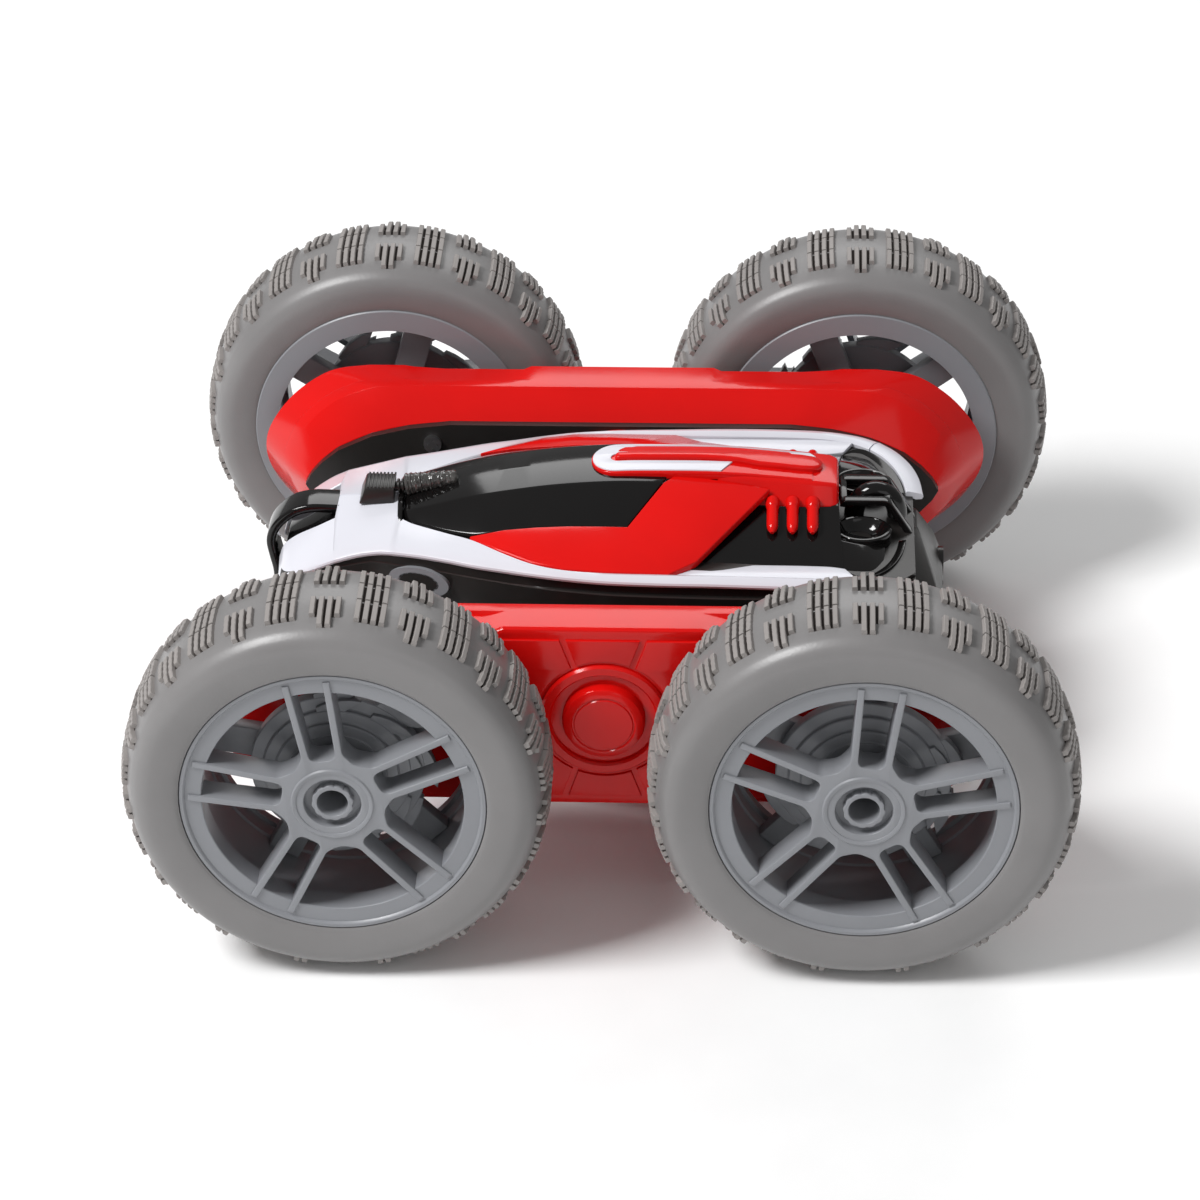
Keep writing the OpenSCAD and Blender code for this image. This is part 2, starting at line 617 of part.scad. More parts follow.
// Stepped disc behind the spokes, with a row of claws on part of its edge
module spinner(angle) {
    rotate_extrude() polygon([[hub_r, 10], [15.9, 10], [15.9, 12], [13, 12.6], [13, 13.4], [10.8, 13.8],
                              [10.8, 14.6], [hub_r, 15]]);
    for (k = [0:claw_count - 1]) rotate(angle + k * claw_pitch) translate([0, 0, 10.3]) linear_extrude(1.4)
        polygon([polar(18.4, 0), polar(18.3, 5), polar(17.8, 13), polar(17.1, 22), polar(16.3, 31), polar(15, 39),
                 polar(14, 26), polar(14, 14), polar(15.4, 11), polar(16.4, 6), polar(17.4, 2.5)]);
}

module axle() translate([0, 0, arm_inner_y - arm_base_t + 1.2 - wheel_y])
    cylinder(h = axle_end - (arm_inner_y - arm_base_t + 1.2 - wheel_y), r = axle_r);

module wheel_gear(turn) translate([0, 0, gear_y - wheel_y]) gear(small_teeth, axle_r, turn);

module at_front() outwards(-wheel_x, wheel_y) children();
module at_rear() outwards(wheel_x, wheel_y) children();

module front_left_tyre() color(tyre_grey) left() at_front() tyre();
module rear_left_tyre() color(tyre_grey) left() at_rear() tyre();
module front_right_tyre() color(tyre_grey) at_front() tyre();
module rear_right_tyre() color(tyre_grey) at_rear() tyre();
module front_left_rim() color(grey) left() at_front() rim(98);
module rear_left_rim() color(grey) left() at_rear() rim(84);
module front_right_rim() color(grey) at_front() rim(75);
module rear_right_rim() color(grey) at_rear() rim(110);
module front_left_spinner() color(grey) left() at_front() spinner(-96);
module rear_left_spinner() color(grey) left() at_rear() spinner(-169);
module front_right_spinner() color(grey) at_front() spinner(20);
module rear_right_spinner() color(grey) at_rear() spinner(60);
module front_left_axle() color(steel) left() at_front() axle();
module rear_left_axle() color(steel) left() at_rear() axle();
module front_right_axle() color(steel) at_front() axle();
module rear_right_axle() color(steel) at_rear() axle();
module front_left_gear() color(nylon) left() at_front() wheel_gear(0);
module rear_left_gear() color(nylon) left() at_rear() wheel_gear(half_tooth);
module front_right_gear() color(nylon) at_front() wheel_gear(0);
module rear_right_gear() color(nylon) at_rear() wheel_gear(half_tooth);

upper_chassis();
lower_chassis();
upper_shell();
lower_shell();
upper_canopy();
lower_canopy();
upper_side_panels();
lower_side_panels();
upper_spoiler();
lower_spoiler();
spoiler_stripes();
exhaust_pipes();
upper_engine();
lower_engine();
nose_guard();
winches();
rear_bumper();
battery_pack();
circuit_board();
left_motor();
right_motor();
charge_socket();
power_switch();
case_screws();
pivot_tubes();
pivot_clips();
left_arm_cover();
left_arm_base();
left_hub_collar();
left_arm_screws();
left_drive_gear();
left_front_idler();
left_rear_idler();
right_arm_cover();
right_arm_base();
right_hub_collar();
right_arm_screws();
right_drive_gear();
right_front_idler();
right_rear_idler();
front_left_tyre();
front_left_rim();
front_left_spinner();
front_left_axle();
front_left_gear();
rear_left_tyre();
rear_left_rim();
rear_left_spinner();
rear_left_axle();
rear_left_gear();
front_right_tyre();
front_right_rim();
front_right_spinner();
front_right_axle();
front_right_gear();
rear_right_tyre();
rear_right_rim();
rear_right_spinner();
rear_right_axle();
rear_right_gear();
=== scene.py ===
"""Looks of the double-sided stunt car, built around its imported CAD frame.

Pieces are drawn in millimetres in the car's own frame (nose to -X, left side to -Y, up +Z) and scaled to metres.
The car is the same above and below its middle plane, so an upper piece is drawn once and turned over for the
lower one.
"""
import json
import math

import bmesh
import bpy
from mathutils import Matrix, Vector


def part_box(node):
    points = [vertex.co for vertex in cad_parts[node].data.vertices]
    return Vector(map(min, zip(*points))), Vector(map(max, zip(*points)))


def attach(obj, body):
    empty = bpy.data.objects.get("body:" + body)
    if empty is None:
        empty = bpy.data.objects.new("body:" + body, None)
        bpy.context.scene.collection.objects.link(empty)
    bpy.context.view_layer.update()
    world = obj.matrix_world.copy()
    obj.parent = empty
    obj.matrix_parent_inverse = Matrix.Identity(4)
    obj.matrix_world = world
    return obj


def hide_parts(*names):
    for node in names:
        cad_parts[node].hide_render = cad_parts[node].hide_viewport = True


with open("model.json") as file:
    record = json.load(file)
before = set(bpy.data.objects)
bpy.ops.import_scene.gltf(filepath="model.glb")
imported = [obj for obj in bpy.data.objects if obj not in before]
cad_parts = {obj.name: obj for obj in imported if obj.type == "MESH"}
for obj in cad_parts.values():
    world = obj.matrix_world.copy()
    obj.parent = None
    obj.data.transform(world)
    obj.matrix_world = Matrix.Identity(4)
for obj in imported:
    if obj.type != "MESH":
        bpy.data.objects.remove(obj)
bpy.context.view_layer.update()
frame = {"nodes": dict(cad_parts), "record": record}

MM = 0.001
SHARP_DEGREES = 35
SIDES = {"left": -1, "right": 1}
WHEELS = {
    "front_left": {"spokes": 98, "claws": -96},
    "rear_left": {"spokes": 84, "claws": -169},
    "front_right": {"spokes": 75, "claws": 20},
    "rear_right": {"spokes": 110, "claws": 60},
}


def mm_box(node):
    """A node's lowest and highest corners in millimetres."""
    low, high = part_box(node)
    return Vector(low) / MM, Vector(high) / MM


tyre_low, tyre_high = mm_box("front_right_tyre")
TYRE_R = (tyre_high.z - tyre_low.z) / 2
MID = TYRE_R
WHEEL_X = -(tyre_low.x + tyre_high.x) / 2
WHEEL_Y = tyre_low.y
TYRE_W = tyre_high.y - tyre_low.y
ARM_FACE = mm_box("right_arm_cover")[1].y


# ---------------------------------------------------------------- helpers

def polar(radius, degrees):
    angle = math.radians(degrees)
    return radius * math.cos(angle), radius * math.sin(angle)


def lerp_table(table, x):
    """The value at x on a line through [x, value] points."""
    if x <= table[0][0]:
        return table[0][1]
    for (x0, v0), (x1, v1) in zip(table, table[1:]):
        if x <= x1:
            return v0 + (v1 - v0) * (x - x0) / (x1 - x0)
    return table[-1][1]


def smooth_line(points, steps):
    """A Catmull-Rom curve through the points."""
    n = len(points)
    vectors = [Vector(p) for p in points]
    result = []
    for i in range(n - 1):
        p1, p2 = vectors[i], vectors[i + 1]
        p0 = vectors[i - 1] if i > 0 else p1 * 2 - p2
        p3 = vectors[i + 2] if i + 2 < n else p2 * 2 - p1
        for k in range(steps):
            t = k / steps
            result.append(0.5 * ((2 * p1) + (p2 - p0) * t + (2 * p0 - 5 * p1 + 4 * p2 - p3) * t * t
                                 + (3 * p1 - p0 - 3 * p2 + p3) * t ** 3))
    result.append(vectors[-1])
    return result


def fillet(points, radii, steps):
    """A closed 2D outline with each corner rounded to its radius."""
    n = len(points)
    if not isinstance(radii, (list, tuple)):
        radii = [radii] * n
    result = []
    for i in range(n):
        here, before, after = (Vector(points[k % n]) for k in (i, i - 1, i + 1))
        u, v = (before - here), (after - here)
        lu, lv = u.length, v.length
        u.normalize()
        v.normalize()
        angle = math.acos(max(-1, min(1, u.dot(v))))
        if radii[i] <= 0 or angle > math.radians(176) or angle < math.radians(2):
            result.append(here)
            continue
        reach = min(radii[i] / math.tan(angle / 2), lu * 0.49, lv * 0.49)
        start, end = here + u * reach, here + v * reach
        for k in range(steps + 1):
            t = k / steps
            result.append(start * (1 - t) ** 2 + here * 2 * t * (1 - t) + end * t * t)
    return result


def mesh_from(vertices, faces):
    bm = bmesh.new()
    made = [bm.verts.new(v) for v in vertices]
    for face in faces:
        corners = [made[i] for i in face]
        if len(set(corners)) > 2:
            bm.faces.new(corners)
    return bm


def absorb(target, source, matrix=None, material=None):
    """Copies source into target, through a matrix, and frees source."""
    if matrix is not None:
        bmesh.ops.transform(source, matrix=matrix, verts=source.verts)
        if matrix.to_3x3().determinant() < 0:
            bmesh.ops.reverse_faces(source, faces=source.faces)
    copies = {v: target.verts.new(v.co) for v in source.verts}
    for face in source.faces:
        new = target.faces.new([copies[v] for v in face.verts])
        new.material_index = face.material_index if material is None else material
    source.free()
    return target


def lathe(profile, steps):
    """A closed profile of (radius, height) points turned about Z."""
    n = len(profile)
    vertices = []
    for i in range(steps):
        c, s = polar(1, 360 * i / steps)
        vertices += [(r * c, r * s, h) for r, h in profile]
    faces = [(i * n + j, (i * n + n + j) % (steps * n), (i * n + n + (j + 1) % n) % (steps * n), i * n + (j + 1) % n)
             for i in range(steps) for j in range(n)]
    bm = mesh_from(vertices, faces)
    bmesh.ops.remove_doubles(bm, verts=bm.verts, dist=1e-4)
    bmesh.ops.recalc_face_normals(bm, faces=bm.faces)
    return bm


def plate(outlines, low, high, bevel):
    """A flat plate from height low to high. The first outline is its edge and the others are holes."""
    curve = bpy.data.curves.new("outline", "CURVE")
    curve.dimensions = "2D"
    curve.fill_mode = "BOTH"
    curve.extrude = (high - low) / 2 - bevel
    curve.bevel_depth = bevel
    curve.bevel_resolution = 2
    curve.offset = -bevel
    for outline in outlines:
        spline = curve.splines.new("POLY")
        spline.points.add(len(outline) - 1)
        for point, co in zip(spline.points, outline):
            point.co = (co[0], co[1], 0, 1)
        spline.use_cyclic_u = True
    holder = bpy.data.objects.new("outline", curve)
    mesh = bpy.data.meshes.new_from_object(holder)
    bm = bmesh.new()
    bm.from_mesh(mesh)
    bpy.data.objects.remove(holder)
    bpy.data.curves.remove(curve)
    bpy.data.meshes.remove(mesh)
    bmesh.ops.translate(bm, verts=bm.verts, vec=(0, 0, (low + high) / 2))
    bmesh.ops.remove_doubles(bm, verts=bm.verts, dist=1e-3)
    bmesh.ops.recalc_face_normals(bm, faces=bm.faces)
    return bm


def loft(rings):
    """Joins rings with the same number of points, and fills both ends."""
    n = len(rings[0])
    vertices = [tuple(p) for ring in rings for p in ring]
    faces = [(i * n + j, i * n + (j + 1) % n, (i + 1) * n + (j + 1) % n, (i + 1) * n + j)
             for i in range(len(rings) - 1) for j in range(n)]
    faces.append(tuple(range(n - 1, -1, -1)))
    faces.append(tuple((len(rings) - 1) * n + j for j in range(n)))
    bm = mesh_from(vertices, faces)
    bmesh.ops.recalc_face_normals(bm, faces=bm.faces)
    return bm


def tube(path, radius, sides):
    """A round bar along a path; radius is a number or one number for each point."""
    points = [Vector(p) for p in path]
    radii = radius if isinstance(radius, (list, tuple)) else [radius] * len(points)
    rings = []
    side = None
    for i, point in enumerate(points):
        ahead = points[min(i + 1, len(points) - 1)] - points[max(i - 1, 0)]
        ahead.normalize()
        if side is None:
            side = ahead.orthogonal().normalized()
        side = (side - ahead * side.dot(ahead)).normalized()
        up = ahead.cross(side)
        rings.append([point + (side * math.cos(a) + up * math.sin(a)) * radii[i]
                      for a in (2 * math.pi * k / sides for k in range(sides))])
    return loft(rings)


def block(low, high):
    bm = bmesh.new()
    bmesh.ops.create_cube(bm, size=1)
    size = Vector(high) - Vector(low)
    centre = (Vector(high) + Vector(low)) / 2
    bmesh.ops.transform(bm, matrix=Matrix.Translation(centre) @ Matrix.Diagonal((*size, 1)), verts=bm.verts)
    return bm


def soften(bm, width, segments=2, degrees=28):
    """Bevels every edge sharper than the angle."""
    edges = [e for e in bm.edges if len(e.link_faces) == 2 and e.calc_face_angle(0) > math.radians(degrees)]
    bmesh.ops.bevel(bm, geom=edges, offset=width, segments=segments, profile=0.5, affect="EDGES",
                    clamp_overlap=True)
    return bm


def add_piece(name, bm, materials, body, replaces):
    """Turns a millimetre bmesh into a finished piece that rides on a body."""
    bmesh.ops.scale(bm, vec=(MM, MM, MM), verts=bm.verts)
    limit = math.radians(SHARP_DEGREES)
    for face in bm.faces:
        face.smooth = True
    for edge in bm.edges:
        edge.smooth = len(edge.link_faces) == 2 and edge.calc_face_angle(0) < limit
    mesh = bpy.data.meshes.new(name)
    bm.to_mesh(mesh)
    bm.free()
    for material in materials if isinstance(materials, (list, tuple)) else [materials]:
        mesh.materials.append(material)
    piece = bpy.data.objects.new(name, mesh)
    bpy.context.scene.collection.objects.link(piece)
    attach(piece, body)
    if replaces:
        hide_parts(*replaces)
    return piece


def outwards(side, x=0.0, y=0.0):
    """Maps local x, y, z to the car's x, z, y, so that local z points out from the car's side."""
    return Matrix(((1, 0, 0, x), (0, 0, side, side * y), (0, 1, 0, MID), (0, 0, 0, 1)))


UPPER = Matrix.Translation((0, 0, MID))
LOWER = UPPER @ Matrix.Rotation(math.pi, 4, "X")
HALVES = {"upper": UPPER, "lower": LOWER}


# ---------------------------------------------------------------- materials

def plastic(name, color, roughness, variation=0.04, bump=0.02, grain=900.0, specular=0.5):
    """Moulded plastic: slight colour drift, uneven gloss and the faint orange peel of a moulded face."""
    material = bpy.data.materials.new(name)
    material.use_nodes = True
    nodes, links = material.node_tree.nodes, material.node_tree.links
    shader = nodes["Principled BSDF"]
    shader.inputs["Specular IOR Level"].default_value = specular
    place = nodes.new("ShaderNodeTexCoord")
    cloud = nodes.new("ShaderNodeTexNoise")
    cloud.inputs["Scale"].default_value = 70
    cloud.inputs["Detail"].default_value = 3
    links.new(place.outputs["Object"], cloud.inputs["Vector"])
    tint = nodes.new("ShaderNodeValToRGB")
    tint.color_ramp.elements[0].position = 0.3
    tint.color_ramp.elements[1].position = 0.7
    tint.color_ramp.elements[0].color = (*[c * (1 - variation) for c in color], 1)
    tint.color_ramp.elements[1].color = (*[min(1, c * (1 + variation)) for c in color], 1)
    links.new(cloud.outputs["Fac"], tint.inputs["Fac"])
    links.new(tint.outputs["Color"], shader.inputs["Base Color"])
    gloss = nodes.new("ShaderNodeMapRange")
    gloss.inputs["To Min"].default_value = roughness * 0.85
    gloss.inputs["To Max"].default_value = roughness * 1.2
    links.new(cloud.outputs["Fac"], gloss.inputs["Value"])
    links.new(gloss.outputs["Result"], shader.inputs["Roughness"])
    peel = nodes.new("ShaderNodeTexNoise")
    peel.inputs["Scale"].default_value = grain
    peel.inputs["Detail"].default_value = 2
    links.new(place.outputs["Object"], peel.inputs["Vector"])
    relief = nodes.new("ShaderNodeBump")
    relief.inputs["Strength"].default_value = bump
    relief.inputs["Distance"].default_value = 0.0003
    links.new(peel.outputs["Fac"], relief.inputs["Height"])
    links.new(relief.outputs["Normal"], shader.inputs["Normal"])
    return material


def metal(name, color, roughness):
    material = plastic(name, color, roughness, variation=0.05, bump=0.03, grain=1500)
    material.node_tree.nodes["Principled BSDF"].inputs["Metallic"].default_value = 1
    return material


RED = plastic("red_gloss", (0.66, 0.005, 0.004), 0.14, specular=0.26)
WHITE = plastic("white_gloss", (0.66, 0.665, 0.72), 0.22, variation=0.015, specular=0.35)
BLACK = plastic("black_gloss", (0.005, 0.0045, 0.0045), 0.09, variation=0.1, bump=0.01, specular=0.4)
SATIN = plastic("black_plastic", (0.02, 0.018, 0.017), 0.3, variation=0.1, bump=0.05, specular=0.4)
WHEEL = plastic("wheel_plastic", (0.235, 0.242, 0.26), 0.36, variation=0.03, bump=0.05)
RUBBER = plastic("tyre_rubber", (0.2, 0.194, 0.194), 0.36, variation=0.05, bump=0.08, grain=1400)
TREAD = plastic("tread_rubber", (0.27, 0.25, 0.24), 0.5, variation=0.08, bump=0.15, grain=1100)
# Near-black material for the thin strips laid between the tread bars: painted shade in the gaps, not a darker rubber.
PAINTED_GAP_SHADE = plastic("painted_gap_shade", (0.03, 0.024, 0.022), 0.8, variation=0.2, specular=0.2)
NYLON = plastic("nylon", (0.7, 0.67, 0.58), 0.45)
STEEL = metal("steel", (0.62, 0.62, 0.64), 0.28)
WRAP = plastic("battery_wrap", (0.02, 0.07, 0.35), 0.3)
ROPE = plastic("wound_rope", (0.07, 0.067, 0.064), 0.14, variation=0.6, bump=1.0, grain=1100, specular=0.9)
BOARD = plastic("board", (0.01, 0.12, 0.05), 0.4, variation=0.15)
MATERIALS = {
    "red_gloss": RED, "white_gloss": WHITE, "black_gloss": BLACK, "black_plastic": SATIN, "wheel_plastic": WHEEL,
    "tyre_rubber": RUBBER, "nylon": NYLON, "steel": STEEL, "motor_can": STEEL, "socket_metal": SATIN,
    "battery_wrap": WRAP, "board": BOARD,
}


def dress_cad_nodes():
    """Gives every CAD node the procedural material of its slot."""
    for row in frame["record"]["subparts"]:
        data = frame["nodes"][row["node"]].data
        data.materials.clear()
        data.materials.append(MATERIALS[row["material_slot"]])


# ---------------------------------------------------------------- wheels

BEAD_R = TYRE_R - 11.3
BARREL_R = BEAD_R - 1.2
RING_IN_R = BEAD_R - 4.1
RIM_FACE = TYRE_W - 1
TREAD_R = TYRE_R - 0.8
HUB_R = 7.6
SOCKET_R = 2.8
SPOKES = 5
TREAD_BLOCKS = 30
BAR_PITCH = 2.25
BAR_HALF_W = 0.5
BAR_H = 0.8
# Half width and height of the thin strips of painted shade between the tread bars.
SHADE_STRIP_HALF_W = 0.36
SHADE_STRIP_H = 0.05
SHOULDER_R = 36


def tyre_profile():
    """Half of the outer surface, from the bead over the bulging sidewall to the middle of the tread."""
    half = TYRE_W / 2
    line = [(BEAD_R + 0.05, half - 0.95), (BEAD_R + 0.9, half - 0.5), (BEAD_R + 3.2, half - 0.14),
            (33.4, half - 0.08), (35.1, half - 0.7), (36.2, half - 1.8), (36.8, half - 2.9), (37.3, half - 4.4),
            (37.75, half - 6.6), (38.08, half - 9), (TREAD_R, 0)]
    return [(p[0], p[1]) for p in smooth_line(line, 5)]


def surface_radius(offset, profile):
    """The tyre's radius at a distance from its middle, on the tread side of the shoulder."""
    outer = [(z, r) for r, z in profile if r > SHOULDER_R]
    return lerp_table(sorted(outer), abs(offset))


def tread_strip(degrees, start, end, profile, height, half_w):
    """A strip across the tread with upright ends and faint cross ribs, following the crown of the tyre."""
    count = max(4, round((end - start) / 0.8))
    rings = []
    for i in range(count + 1):
        along = start + (end - start) * i / count
        base = surface_radius(along, profile)
        taller = height * (1 + 0.3 * min(1, abs(along) / 9))
        top = taller * (0.9 if i in (0, count) else 1 if i % 2 else 0.86)
        ring = []
        for across, rise in ((-1.06, 0), (-0.94, 0.84), (-0.7, 1), (0.7, 1), (0.94, 0.84), (1.06, 0)):
            radius = base + top * rise if rise else base - 0.3
            x, y = polar(radius, degrees)
            tx, ty = polar(half_w * across, degrees + 90)
            ring.append((x + tx, y + ty, TYRE_W / 2 + along))
        rings.append(ring)
    return loft(rings)


def tread_block(centre, extents, profile):
    """Four bars side by side, each with its own extent along the axle, with a thin near-black strip of painted shade
    in the gap between every two.
    """
    bm = bmesh.new()
    for bar, (start, end) in enumerate(extents):
        angle = centre + (bar - 1.5) * BAR_PITCH
        absorb(bm, tread_strip(angle, start, end, profile, BAR_H, BAR_HALF_W), material=1)
    # A thin near-black strip in each gap between two bars: painted shade.
    for gap in range(3):
        start = max(extents[gap][0], extents[gap + 1][0])
        end = min(extents[gap][1], extents[gap + 1][1])
        angle = centre + (gap - 1) * BAR_PITCH
        absorb(bm, tread_strip(angle, start, end, profile, SHADE_STRIP_H, SHADE_STRIP_HALF_W), material=2)
    return bm


def tyre():
    """Hollow tyre with blocks across the middle by turns with pairs of T-shaped blocks on the two shoulders."""
    half = tyre_profile()
    outer = [(r, TYRE_W / 2 + z) for r, z in half] + [(r, TYRE_W / 2 - z) for r, z in reversed(half[:-1])]
    inner = [(BEAD_R, 1.5), (BARREL_R, 1.5), (BARREL_R, 4.5), (BEAD_R + 1.5, 4.5), (34.4, 5), (34.4, TYRE_W - 5),
             (BEAD_R + 1.5, TYRE_W - 5.5), (BARREL_R, TYRE_W - 5.5), (BARREL_R, TYRE_W - 3), (BEAD_R, TYRE_W - 3)]
    bm = lathe(outer + inner, 180)
    across = ([(-7.7, -2.8)] * 4, [(-2.4, 2.4)] * 4, [(2.8, 7.7)] * 4)
    near = [(2.5, 7.1), (2.5, 9.4), (2.5, 9.4), (2.5, 7.1)]
    far = [(-end, -start) for start, end in near]
    for index in range(TREAD_BLOCKS):
        centre = (index + 0.5) * 360 / TREAD_BLOCKS
        for extents in (across if index % 2 == 0 else (near, far)):
            absorb(bm, tread_block(centre, extents, half))
    return bm


def spoke_outline():
    """Closed edge of the front plate: a hub star with a pair of parallel ribs reaching out at each point."""
    slot_r, valley_r, tip_r = 9.6, 9.3, BARREL_R - 0.75
    rib = 1.26
    step = 360 / SPOKES
    points, radii = [], []

    def place(index, u, v, radius):
        c, s = polar(1, index * step)
        points.append((u * c - v * s, u * s + v * c))
        radii.append(radius)

    def offset(u):
        return 2.6 + u * 0.042

    for k in range(SPOKES):
        place(k, slot_r + 0.6, -offset(slot_r) - rib / 2 - 0.05, 2.2)
        place(k, tip_r, -offset(tip_r) - rib / 2, 0.15)
        place(k, tip_r, -offset(tip_r) + rib / 2, 0.15)
        place(k, slot_r - 0.4, -offset(slot_r) + rib / 2, 1.7)
        place(k, slot_r - 0.4, offset(slot_r) - rib / 2, 1.7)
        place(k, tip_r, offset(tip_r) - rib / 2, 0.15)
        place(k, tip_r, offset(tip_r) + rib / 2, 0.15)
        place(k, slot_r + 0.6, offset(slot_r) + rib / 2 + 0.05, 2.2)
        c, s = polar(valley_r, (k + 0.5) * step)
        points.append((c, s))
        radii.append(3.5)
    return fillet(points, radii, 6)


def circle(radius, steps):
    return [polar(radius, 360 * i / steps) for i in range(steps)]


def hub_boss():
    """The scalloped boss with its round socket."""
    lobes, steps = 12, 120
    outline = []
    for i in range(steps):
        angle = 360 * i / steps
        outline.append(polar(3.55 + 0.22 * abs(math.cos(math.radians(angle * lobes / 2))), angle))
    return plate([outline, circle(SOCKET_R, 48)], RIM_FACE - 2.2, RIM_FACE - 0.25, 0.15)


def rim():
    deep = RIM_FACE - 5.4
    ring = lathe([
        (RING_IN_R + 0.15, 0.2), (BEAD_R + 0.4, 0.2), (BEAD_R + 0.6, 0.4), (BEAD_R + 0.6, 1.5), (BARREL_R, 1.6),
        (BARREL_R, TYRE_W - 3), (BEAD_R - 0.05, TYRE_W - 2.9), (BEAD_R - 0.05, RIM_FACE - 0.25),
        (BEAD_R - 0.2, RIM_FACE), (BEAD_R - 0.75, RIM_FACE), (BEAD_R - 0.95, RIM_FACE - 0.15),
        (BEAD_R - 1.15, RIM_FACE - 0.5), (RING_IN_R + 0.15, RIM_FACE - 0.55), (RING_IN_R, RIM_FACE - 0.7),
        (RING_IN_R, deep + 0.15), (RING_IN_R + 0.15, deep), (RING_IN_R + 1, deep),
        (RING_IN_R + 1.25, deep - 0.2), (RING_IN_R + 1.25, 5.6), (RING_IN_R + 0.9, 5.2),
        (RING_IN_R + 0.9, 2.2), (RING_IN_R + 0.15, 2)], 160)
    front = plate([spoke_outline(), circle(5.2, 64)], deep, RIM_FACE - 0.15, 0.16)
    hub = lathe([
        (2.05, 1.5), (HUB_R - 0.4, 1.5), (HUB_R, 1.9), (HUB_R, RIM_FACE - 0.25), (HUB_R - 0.35, RIM_FACE + 0.12),
        (6.9, RIM_FACE + 0.12), (6.6, RIM_FACE), (6.45, RIM_FACE - 0.4), (5.4, RIM_FACE - 1.5),
        (5.1, RIM_FACE - 1.9), (SOCKET_R, RIM_FACE - 1.9), (SOCKET_R, 15), (2.05, 15)], 96)
    bm = bmesh.new()
    for piece in (ring, front, hub, hub_boss()):
        absorb(bm, piece)
    for k in range(SPOKES):
        rear = soften(block((5, -3, 5), (RING_IN_R + 1, 3, 8)), 0.3)
        absorb(bm, rear, Matrix.Rotation(math.radians(k * 360 / SPOKES), 4, "Z"))
    return bm


def claw_outline(shrink):
    """One curved claw on the edge of the stepped disc, with its tip at angle 0."""
    tip = 18.4 - shrink
    back = [polar(tip - 1.2 * (a / 24) ** 1.5, a) for a in (0, 3, 7, 12, 18, 24, 31)]
    under = [polar(r, a) for r, a in ((13, 33), (12.5, 22), (13.6, 13.5), (14.9, 10.5), (16, 6.5), (17.2, 2.6))]
    return back + [(x * (1 - shrink / 20), y * (1 - shrink / 20)) for x, y in under]


def spinner(angle):
    bm = lathe([(HUB_R, 9.8), (15.7, 9.8), (15.9, 10), (15.9, 11.9), (15.7, 12.1), (13.7, 12.3), (13.5, 12.5),
                (13.5, 13.0), (13.3, 13.2), (11.5, 13.4), (11.3, 13.6), (11.3, 14.1), (11.1, 14.3), (9.4, 14.5),
                (9.2, 14.7), (9.2, 15), (HUB_R, 15.1)], 128)
    for k in range(5):
        turn = Matrix.Rotation(math.radians(angle + 42 * k), 4, "Z")
        absorb(bm, plate([claw_outline(0)], 10.2, 12.0, 0.15), turn)
        absorb(bm, plate([claw_outline(2.3)], 11.8, 13.0, 0.12), turn)
    return bm


def build_wheels():
    for corner, turns in WHEELS.items():
        end, side_name = corner.split("_")
        x = WHEEL_X if end == "rear" else -WHEEL_X
        place = outwards(SIDES[side_name], x, WHEEL_Y)
        body = corner + "_wheel"
        spoke_turn = Matrix.Rotation(math.radians(turns["spokes"]), 4, "Z")
        # The tyre's third material is the painted shade in the gaps between the tread bars.
        parts = (("tyre", tyre(), (RUBBER, TREAD, PAINTED_GAP_SHADE), "tyre_rubber", Matrix()),
                 ("rim", rim(), WHEEL, "wheel_plastic", spoke_turn),
                 ("spinner", spinner(turns["claws"]), WHEEL, "wheel_plastic", Matrix()))
        for part, bm, materials, slot, turn in parts:
            moved = absorb(bmesh.new(), bm, place @ turn)
            add_piece(f"{corner}_{part}_detail", moved, materials, body, [f"{corner}_{part}"])


# ---------------------------------------------------------------- body

STRIPE_H = 1.1
PANEL_T = 1.4
LEDGE_H = 13.3
RAIL_STEPS = 4
CAGE_Y = 3.9
SWITCH_TRAVEL = 2.4

